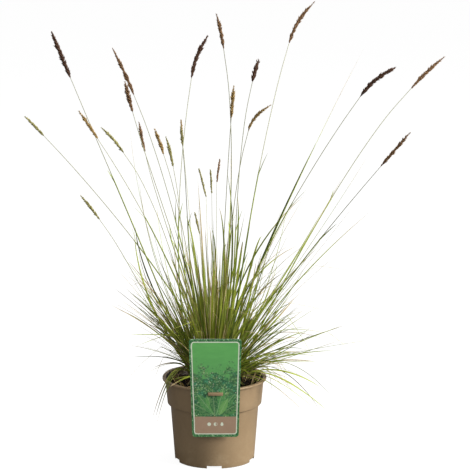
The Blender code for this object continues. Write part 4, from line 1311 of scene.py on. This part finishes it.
def bent(start, middle, tip, pieces):
    pull = middle * 2 - (start + tip) / 2
    line = []
    for i in range(pieces + 1):
        t = i / pieces
        line.append(start * (1 - t) ** 2 + pull * (2 * t * (1 - t)) + tip * t ** 2)
    return line


def is_free(point):
    """False in the pot's wall, in front of or in the label, and outside the solids' box."""
    reach = point.xy.length
    if point.z < POT_HEIGHT + RIM_AIR and 0.070 < reach < RIM_RADIUS + RIM_AIR:
        return False
    if point.z < SOIL_TOP + 0.001 and reach < 0.070:
        return False
    label_top = LABEL_HANG.z + LABEL_TOP + LABEL_AIR
    aside = abs(point.x - LABEL_MIDDLE_X) < HALF_TOP + LABEL_AIR
    if aside and point.y < -0.076 and point.z < label_top:
        return False
    return all(low < value < high for low, value, high in zip(LOW, point, HIGH))


def sister_of(start, middle, tip, longer, turned, shortest, longest):
    """A blade near another: turned about the start, longer or shorter, and lifted or let down."""
    for _ in range(14):
        turn = Matrix.Rotation(chance.gauss(0, turned), 3, "Z")
        scale = chance.uniform(shortest, longest) * longer
        to_middle = turn @ (middle - start) * scale
        to_tip = turn @ (tip - start) * scale
        lift = chance.gauss(0, 0.5 * turned) * to_tip.length
        new_middle = start + to_middle + Vector((0, 0, lift * 0.4))
        new_tip = start + to_tip + Vector((0, 0, lift))
        if all(is_free(point) for point in bent(start, new_middle, new_tip, 8)[2:]):
            return new_middle, new_tip
    return None


def folded(line):
    """The line with its last part turned down, as when a blade has buckled; or as it was if that hits."""
    joint = int(len(line) * chance.uniform(0.55, 0.80))
    axis = (line[-1] - line[0]).cross(UP).normalized()
    turn = Matrix.Rotation(-chance.uniform(0.7, 1.7), 3, axis)
    hanging = [line[joint] + turn @ (point - line[joint]) for point in line[joint + 1:]]
    return line[:joint + 1] + hanging if all(is_free(point) for point in hanging) else line


# %% Blades, sisters and old sheaths
SHEATH_PIECES = 4
FOLDED = 0.09


def grow_blade(bm, foot, line, half_width, age_value, tone_value):
    start, tip = line[0], line[-1]
    line = [foot.lerp(start, i / SHEATH_PIECES) for i in range(SHEATH_PIECES)] + line
    out = (tip - start).cross(UP)
    side = out.normalized() if out.length > 1e-5 else Vector((1, 0, 0))
    twist = chance.uniform(-0.9, 0.9)
    last = len(line) - 1
    rings, far = [], []
    for i in range(last):
        t = i / last
        width = half_width * min(1.0, 0.55 + 2.2 * t, 0.16 + 2.6 * (1 - t))
        turned_side = Matrix.Rotation(twist * t, 3, (tip - start).normalized()) @ side
        rings.append(ring_at(line, i, turned_side, BLADE_OUTLINE, width, 0.00022 + width * 0.22))
        far.append(t)
    marks = {"along": far, "age": [age_value] * last, "tone": [tone_value] * last}
    grow(bm, rings, marks, tip, {"across": (-1, 0, 1, 0)})


def grow_old_sheath(bm, foot):
    turn = chance.uniform(0, math.tau)
    out = Vector((math.cos(turn), math.sin(turn), 0))
    start = foot + out * chance.uniform(0.0030, 0.0062)
    away = Vector((foot.x, foot.y, 0)) * 6
    tip = start + UP * chance.uniform(0.010, 0.036) + out * chance.uniform(0.001, 0.010) + away * 0.03
    middle = start.lerp(tip, 0.5) + out * 0.001
    if all(is_free(point + UP * 0.002) for point in (middle, tip)):
        grow_blade(bm, start - UP * 0.001, bent(start, middle, tip, SHEATH_PIECES),
                   chance.uniform(0.0008, 0.0019), chance.uniform(1.0, 1.3), chance.random())


OLD_SHEATHS = 9

# share of the sisters, least and most half width, least and most age, turn, shortest and longest
SISTER_KINDS = [
    (0.46, (0.0010, 0.0018), (0.00, 0.30), (0.22, 0.55, 1.05)),
    (0.18, (0.0011, 0.0019), (0.00, 0.35), (0.55, 0.35, 0.70)),
    (0.22, (0.0005, 0.0009), (0.10, 0.60), (0.25, 0.50, 1.10)),
    (0.14, (0.0005, 0.0011), (0.80, 1.10), (0.35, 0.40, 0.90)),
]


def sister_kind():
    drawn = chance.random()
    for share, *rest in SISTER_KINDS:
        drawn -= share
        if drawn < 0:
            return rest
    return rest


INNER_CIRCLE = 0.025
INNER_LONGER = 1.22
blades = 0
for name in tuft_names:
    bm = bmesh_with("along", "across", "age", "tone")
    found, foot = blade_lines(name)
    longer = INNER_LONGER if foot.xy.length < INNER_CIRCLE else 1.0
    for start, middle, tip in found:
        base = foot.lerp(start, 0.5)
        base.z = SOIL_TOP - 0.001
        grow_blade(bm, base, bent(start, middle, tip, BLADE_PIECES), chance.uniform(0.0015, 0.0022),
                   chance.uniform(0.0, 0.30), chance.random())
        blades += 1
        for _ in range(SISTERS):
            widths, ages, spread = sister_kind()
            lines = sister_of(start, middle, tip, longer, *spread)
            if lines is None:
                continue
            jitter = Vector((chance.uniform(-1, 1), chance.uniform(-1, 1), 0)) * 0.0012
            line = bent(start + jitter, *lines, BLADE_PIECES)
            if chance.random() < FOLDED:
                line = folded(line)
            grow_blade(bm, base + jitter, line, chance.uniform(*widths), chance.uniform(*ages),
                       chance.random())
            blades += 1
    for _ in range(OLD_SHEATHS):
        grow_old_sheath(bm, Vector((foot.x, foot.y, SOIL_TOP)))
    finish(bm, name.replace("leaf_tuft", "blades"), leaf_green, [name], smooth=50)
print("blades:", blades)

# %% [markdown]
# Single blades
# Some blades of the picture stand alone or lean across the others, where no tuft of solids has room for
# them. Their middles and tips are given as points in metres, and their feet stand on the crown on the
# side to which they lean. One more blade is buckled near its end, so its line has a corner.

# %% Growing the single blades
# middle, tip, half width
SINGLE_BLADES = [
    ((0.024, -0.030, 0.364), (0.027, -0.050, 0.519), 0.0016),
    ((0.029, 0.020, 0.337), (0.021, 0.030, 0.473), 0.0017),
    ((0.035, -0.040, 0.338), (0.038, -0.060, 0.450), 0.0019),
    ((0.016, 0.050, 0.319), (0.007, 0.070, 0.409), 0.0016),
    ((0.047, -0.040, 0.338), (0.058, -0.060, 0.408), 0.0018),
    ((0.058, 0.050, 0.305), (0.078, 0.060, 0.361), 0.0019),
    ((0.038, -0.070, 0.324), (0.046, -0.090, 0.383), 0.0018),
    ((0.003, -0.040, 0.329), (-0.004, -0.060, 0.398), 0.0016),
    ((0.078, 0.030, 0.310), (0.112, 0.050, 0.414), 0.0015),
    ((0.088, 0.030, 0.209), (0.141, 0.050, 0.226), 0.0016),
    ((0.084, -0.030, 0.237), (0.125, -0.050, 0.273), 0.0018),
    ((0.090, -0.050, 0.215), (0.153, -0.080, 0.241), 0.0017),
    ((0.078, 0.040, 0.237), (0.115, 0.070, 0.267), 0.0018),
    ((0.093, -0.050, 0.205), (0.135, -0.060, 0.218), 0.0016),
    ((0.101, 0.020, 0.177), (0.151, 0.030, 0.175), 0.0014),
    ((0.080, -0.050, 0.222), (0.117, -0.070, 0.247), 0.0017),
    ((0.092, 0.060, 0.208), (0.149, 0.090, 0.225), 0.0016),
    ((0.077, -0.060, 0.201), (0.111, -0.070, 0.220), 0.0015),
    ((0.126, -0.030, 0.198), (0.212, -0.050, 0.238), 0.0019),
    ((-0.106, 0.030, 0.259), (-0.132, 0.050, 0.376), 0.0016),
    ((-0.030, 0.030, 0.323), (-0.047, 0.050, 0.398), 0.0015),
]
BUCKLED_BLADE = [
    (-0.055, 0.013, 0.190), (-0.094, 0.020, 0.250), (-0.110, 0.022, 0.278), (-0.121, 0.030, 0.291),
]
BUCKLED_TIP = (-0.139, 0.030, 0.281)
FOOT_REACH = 0.034
LEAF_START = 0.150


def single_foot(middle):
    level = Vector((middle.x, middle.y, 0))
    level *= min(0.35, FOOT_REACH / level.length)
    return level + UP * (SOIL_TOP - 0.001), level * 1.1 + UP * LEAF_START


singles = bmesh_with("along", "across", "age", "tone")
for middle, tip, half_width in SINGLE_BLADES:
    middle, tip = Vector(middle), Vector(tip)
    foot, start = single_foot(middle)
    grow_blade(singles, foot, bent(start, middle, tip, BLADE_PIECES), half_width,
               chance.uniform(0.0, 0.25), chance.random())
foot, start = single_foot(Vector(BUCKLED_BLADE[0]))
line = smooth_line([start, *(Vector(point) for point in BUCKLED_BLADE)], BLADE_PIECES)
line += [line[-1].lerp(Vector(BUCKLED_TIP), i / 4) for i in range(1, 5)]
grow_blade(singles, foot, line, 0.0017, 0.25, 0.85)
finish(singles, "single_blades", leaf_green, smooth=50)
print("single blades:", len(SINGLE_BLADES) + 1)
